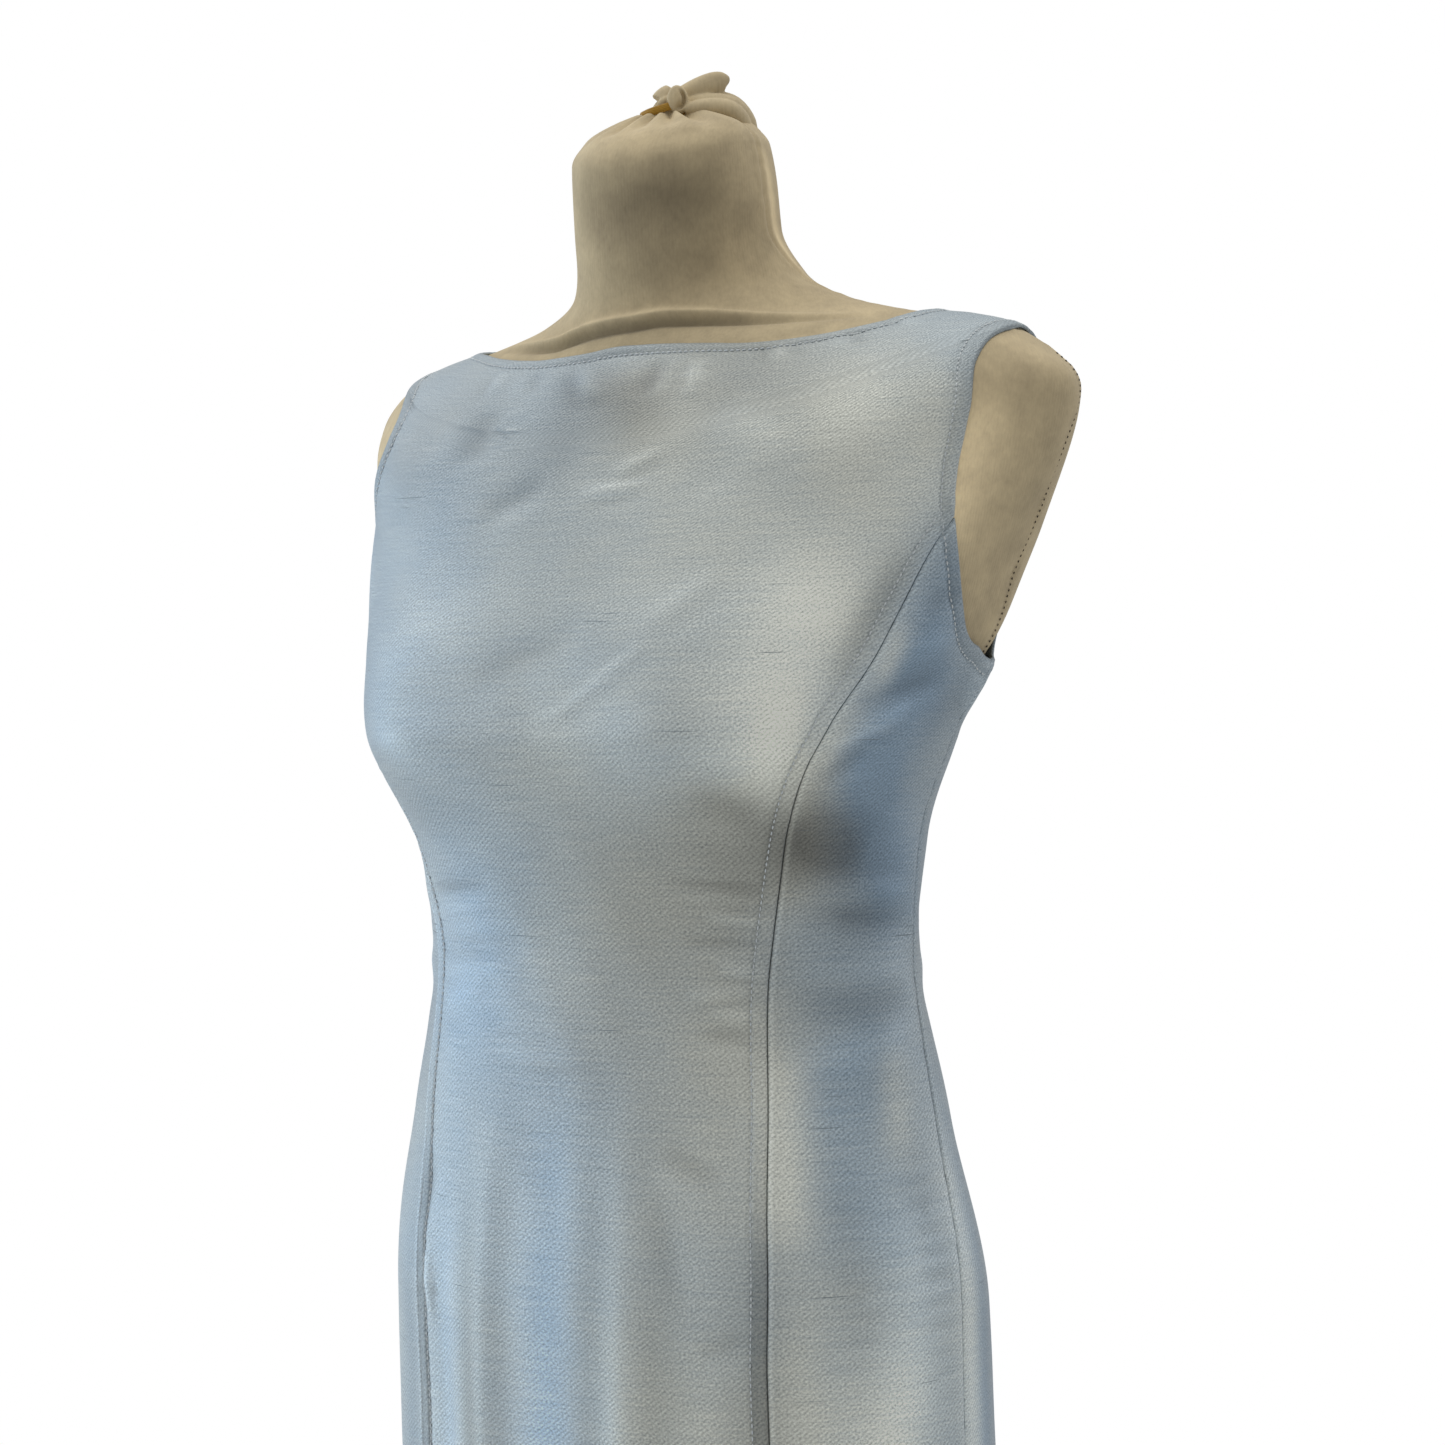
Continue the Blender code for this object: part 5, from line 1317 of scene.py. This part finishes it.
# The rings of the rolled end: how far forward each lies, its share of the whole size, and its share of the crease.
ROLLED_RINGS = (
    (-0.013, 0.6, 0), (-0.009, 0.88, 0), (-0.0032, 0.98, 0), (-0.001, 1, 0), (0.0004, 0.96, 0), (0.0014, 0.88, 0),
    (0.0019, 0.79, 0), (0.0022, 0.7, 0.5), (0.0026, 0.61, 1), (0.003, 0.51, 1), (0.0034, 0.38, 0.4),
    (0.0036, 0.18, 0),
)


def gather_place(local):
    """From across, towards the front and up, to the part's own frame."""
    across, front, up = np.moveaxis(np.asarray(local, float), -1, 0)
    turn = math.radians(GATHER_TURN)
    x = across * math.cos(turn) + front * math.sin(turn)
    y = across * math.sin(turn) - front * math.cos(turn)
    return np.stack([x, y, up], axis=-1) + np.array(GATHER_FOOT)


def tube_faces(rings, count):
    """Faces between rings of points that follow one another, with an end face on the first and on the last."""
    faces = [
        (r * count + c, (r + 1) * count + c, (r + 1) * count + (c + 1) % count, r * count + (c + 1) % count)
        for r in range(rings - 1) for c in range(count)
    ]
    return faces + [tuple(range(count)), tuple(range((rings - 1) * count, rings * count))[::-1]]


def faced_outwards(made):
    """Turns a closed mesh's faces so that they all look outwards."""
    shape = bmesh.new()
    shape.from_mesh(made.data)
    bmesh.ops.recalc_face_normals(shape, faces=shape.faces)
    shape.to_mesh(made.data)
    shape.free()


def soft_tube(stations, count=26, rings=22):
    """Points and faces of a closed tube through stations of across, front, up, half height and half depth."""
    values = smooth_through(np.linspace(0, 1, len(stations)), stations, np.linspace(0, 1, rings))
    middle = values[:, :3]
    ahead = np.gradient(middle, axis=0)
    ahead /= np.linalg.norm(ahead, axis=1, keepdims=True)
    upright = np.cross(ahead, (0.0, 1.0, 0.0))
    level = np.abs(ahead[:, 2]) > 0.92
    upright[level] = (1.0, 0.0, 0.0)
    upright /= np.linalg.norm(upright, axis=1, keepdims=True)
    aside = np.cross(upright, ahead)
    turns = np.linspace(0, 2 * math.pi, count + 1)[:-1]
    grid = middle[:, None] + (
        values[:, 3, None, None] * np.cos(turns)[:, None] * upright[:, None]
        + values[:, 4, None, None] * np.sin(turns)[:, None] * aside[:, None]
    )
    return list(gather_place(grid).reshape(-1, 3)), tube_faces(rings, count)


def rolled_end(values):
    """A roll of cloth seen end on: a soft oval roll whose mouth is creased on one side like an ear."""
    across, front, up, half_width, half_height, depth = values
    turns = np.linspace(0, 2 * math.pi, 37)[:-1]
    lean = 1 + 0.06 * np.cos(2 * turns + 0.8)
    points = []
    for ahead, share, crease_painted_light in ROLLED_RINGS:
        sunk = ahead - crease_painted_light * depth * np.clip(np.cos(turns + 0.25), 0, 1) ** 0.7
        points += list(gather_place(np.stack([
            across + half_width * share * lean * np.cos(turns), front + sunk,
            up + half_height * share * lean * np.sin(turns),
        ], axis=-1)))
    return points, tube_faces(len(ROLLED_RINGS), len(turns))


gather_points, gather_faces = [], []
for points, faces in [soft_tube(stations) for stations in GATHER_FOLDS] + [rolled_end(ROLLED_END)]:
    first = len(gather_points)
    gather_points += points
    gather_faces += [tuple(first + i for i in face) for face in faces]
gather = mesh_object("neck_gather_folds", gather_points, gather_faces, jersey)
faced_outwards(gather)
joined = gather.modifiers.new("joined", "REMESH")
joined.mode = "VOXEL"
joined.voxel_size = FOLD_VOXEL
eased = gather.modifiers.new("eased", "SMOOTH")
eased.factor = 0.5
eased.iterations = 4
gather.data = bpy.data.meshes.new_from_object(gather.evaluated_get(bpy.context.evaluated_depsgraph_get()))
gather.modifiers.clear()
gather.data.shade_smooth()
gather.data.materials.clear()
gather.data.materials.append(jersey)
places = np.empty(len(gather.data.vertices) * 3, np.float32)
gather.data.vertices.foreach_get("co", places)
places = places.reshape(-1, 3)
corners = np.empty(len(gather.data.loops), np.int32)
gather.data.loops.foreach_get("vertex_index", corners)
flat_cut = np.stack([places[:, 0] * GATHER_CUT[0] + places[:, 1] * GATHER_CUT[1], places[:, 2]], axis=-1)[corners]
gather.data.uv_layers.new(name="cut").data.foreach_set("uv", flat_cut.ravel())
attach(gather, "dress_on_form")
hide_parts("neck_gather")


# Neck elastic
# A narrow flat elastic, mustard yellow, that is pulled tight round the gathered jersey. It is woven with
# ribs along its length, and lies a little lower on the wearer's left.
ELASTIC_MUSTARD = "#B58A2A"
ELASTIC_SHADE = "#8F6A18"
ELASTIC_HEIGHT = 0.0046
ELASTIC_THICKNESS = 0.0012
ELASTIC_RIB = 0.0009
ELASTIC_ROUNDING = 0.0004
ELASTIC_TEXTURE_STEP = 0.00082       # of its length, between two of its 96 points round
# From the gather's foot, across, to the front and up: the band's middle, and its half width and half depth.
ELASTIC_MIDDLE = (-0.0040, 0.0010, -0.0022)
ELASTIC_REACH = (0.0165, 0.0125)
elastic, tree, shader = start_material("woven_elastic", roughness=0.75, sheen_weight=0.25, specular_ior_level=0.35)
place = add_node(tree, "ShaderNodeTexCoord").outputs["Object"]
cut = add_node(tree, "ShaderNodeTexCoord").outputs["UV"]
rib = stripes(tree, cut, ELASTIC_RIB, 0)
fibre = add_node(tree, "ShaderNodeTexNoise", {"Vector": place, "Scale": 700.0, "Detail": 2.0})
shade = summed(tree, fibre, (rib, 0.3))
tone = add_node(tree, "ShaderNodeMix", {
    "Factor": shade, 6: linear(ELASTIC_SHADE), 7: linear(ELASTIC_MUSTARD),
}, data_type="RGBA")
bump = add_node(tree, "ShaderNodeBump", {"Height": shade, "Strength": 0.5, "Distance": 0.0003})
feed(shader, {"Base Color": tone, "Normal": bump})

turns = np.linspace(0, 2 * math.pi, 97)[:-1]
pinch = 1 + 0.025 * np.sin(5 * turns + 0.7) + 0.015 * np.sin(9 * turns)
inside = ELASTIC_ROUNDING - ELASTIC_THICKNESS
profile = [
    (0, 0), (ELASTIC_ROUNDING, ELASTIC_ROUNDING), (ELASTIC_ROUNDING, ELASTIC_HEIGHT - ELASTIC_ROUNDING),
    (0, ELASTIC_HEIGHT), (inside, ELASTIC_HEIGHT), (inside, 0),
]
band_points = []
for out_by, up_by in profile:
    across = ELASTIC_MIDDLE[0] + (ELASTIC_REACH[0] * pinch + out_by) * np.cos(turns)
    front = ELASTIC_MIDDLE[1] + (ELASTIC_REACH[1] * pinch + out_by) * np.sin(turns)
    tilt = 0.0038 * (across - ELASTIC_MIDDLE[0]) / ELASTIC_REACH[0] - 1.1 * np.clip(across + 0.003, 0, 1)
    band_points += list(gather_place(np.stack([across, front, ELASTIC_MIDDLE[2] + up_by + tilt], axis=-1)))
band_faces, band_uv = [], []
for row in range(6):
    for column in range(96):
        corners = ((row, column), (row, column + 1), (row + 1, column + 1), (row + 1, column))
        band_faces.append(tuple(r % 6 * 96 + c % 96 for r, c in corners))
        band_uv += [(c * ELASTIC_TEXTURE_STEP, profile[r % 6][1]) for r, c in corners]
band = mesh_object("neck_elastic", band_points, band_faces, elastic, band_uv)
faced_outwards(band)
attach(band, "dress_on_form")
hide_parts("neck_band")


# Zip slider and pull
# The slider and its pull tab are die-cast zinc, nickel plated: bright, a little yellow, with fine scuffs.
# The slider lies at the top of the closed zip, with the tab hanging on its pin.
NICKEL = "#C9C4BA"
NICKEL_SHADE = "#9E988D"
nickel, tree, shader = start_material("nickel_plated_zinc", metallic=1.0, roughness=0.28)
place = add_node(tree, "ShaderNodeTexCoord").outputs["Object"]
scuffs = add_node(tree, "ShaderNodeTexNoise", {"Vector": place, "Scale": 1400.0, "Detail": 3.0})
tone = add_node(tree, "ShaderNodeMix", {
    "Factor": scuffs, 6: linear(NICKEL_SHADE), 7: linear(NICKEL),
}, data_type="RGBA")
gloss = add_node(tree, "ShaderNodeMapRange", {"Value": scuffs, "To Min": 0.20, "To Max": 0.40})
feed(shader, {"Base Color": tone, "Roughness": gloss})
for node in ("zip_slider", "zip_pull"):
    bpy.data.objects[node].material_slots[0].material = nickel


# Floor and light
# A pale floor in a dim room with white all round. The light falls mostly from broad, slightly warm lamps above,
# with cool window light from the left and a weak pale lamp behind at the right, so the front lies in soft shade.
FLOOR_PALE = "#F2F2F0"
FLOOR_RADIUS = 1.7
floor_paint = start_material("pale_floor", base_color=linear(FLOOR_PALE), roughness=0.85)[0]
rim = [
    (FLOOR_RADIUS * math.cos(turn), FLOOR_RADIUS * math.sin(turn), 0.0)
    for turn in np.linspace(0, 2 * math.pi, 97)[:-1]
]
floor = mesh_object("floor", rim, [tuple(range(96))], floor_paint)
floor.location.z = -0.0005

# Each lamp's name, place, size, watts and colour. All of them face the middle of the dress.
LAMPS = (
    ("overhead_light", (0.1, 0.1, 3.1), 2.2, 23, (1.0, 0.97, 0.91)),
    ("ceiling_light", (-1.8, -0.2, 2.8), 1.6, 10, (1.0, 0.97, 0.93)),
    ("window_light", (-2.4, -0.4, 1.2), 1.6, 11, (0.66, 0.84, 1.0)),
    ("low_light", (-1.9, -0.6, 0.35), 1.2, 7, (0.76, 0.90, 1.0)),
    ("front_light", (-1.7, -2.0, 1.3), 1.4, 8, (0.82, 0.90, 1.0)),
    ("back_light", (1.7, 1.9, 1.4), 1.4, 6, (0.95, 0.97, 1.0)),
)
for name, place, size, watts, colour in LAMPS:
    lamp = bpy.data.lights.new(name, "AREA")
    lamp.shape = "RECTANGLE"
    lamp.size = lamp.size_y = size
    lamp.energy = watts
    lamp.color = colour
    made = bpy.data.objects.new(name, lamp)
    bpy.context.scene.collection.objects.link(made)
    made.location = place
    made.rotation_euler = (Vector((0, 0, 0.95)) - Vector(place)).to_track_quat("-Z", "Y").to_euler()

world = bpy.data.worlds.new("studio")
bpy.context.scene.world = world
world.use_nodes = True
tree = world.node_tree
room = add_node(tree, "ShaderNodeBackground", {"Color": (1.0, 0.98, 0.94, 1.0), "Strength": 0.42})
backdrop = add_node(tree, "ShaderNodeBackground", {"Color": (1.0, 1.0, 1.0, 1.0), "Strength": 1.0})
seen = add_node(tree, "ShaderNodeLightPath")
shown = add_node(tree, "ShaderNodeMixShader", {0: seen.outputs["Is Camera Ray"], 1: room, 2: backdrop})
feed(tree.nodes["World Output"], {"Surface": shown})
bpy.context.scene.view_settings.view_transform = "Standard"
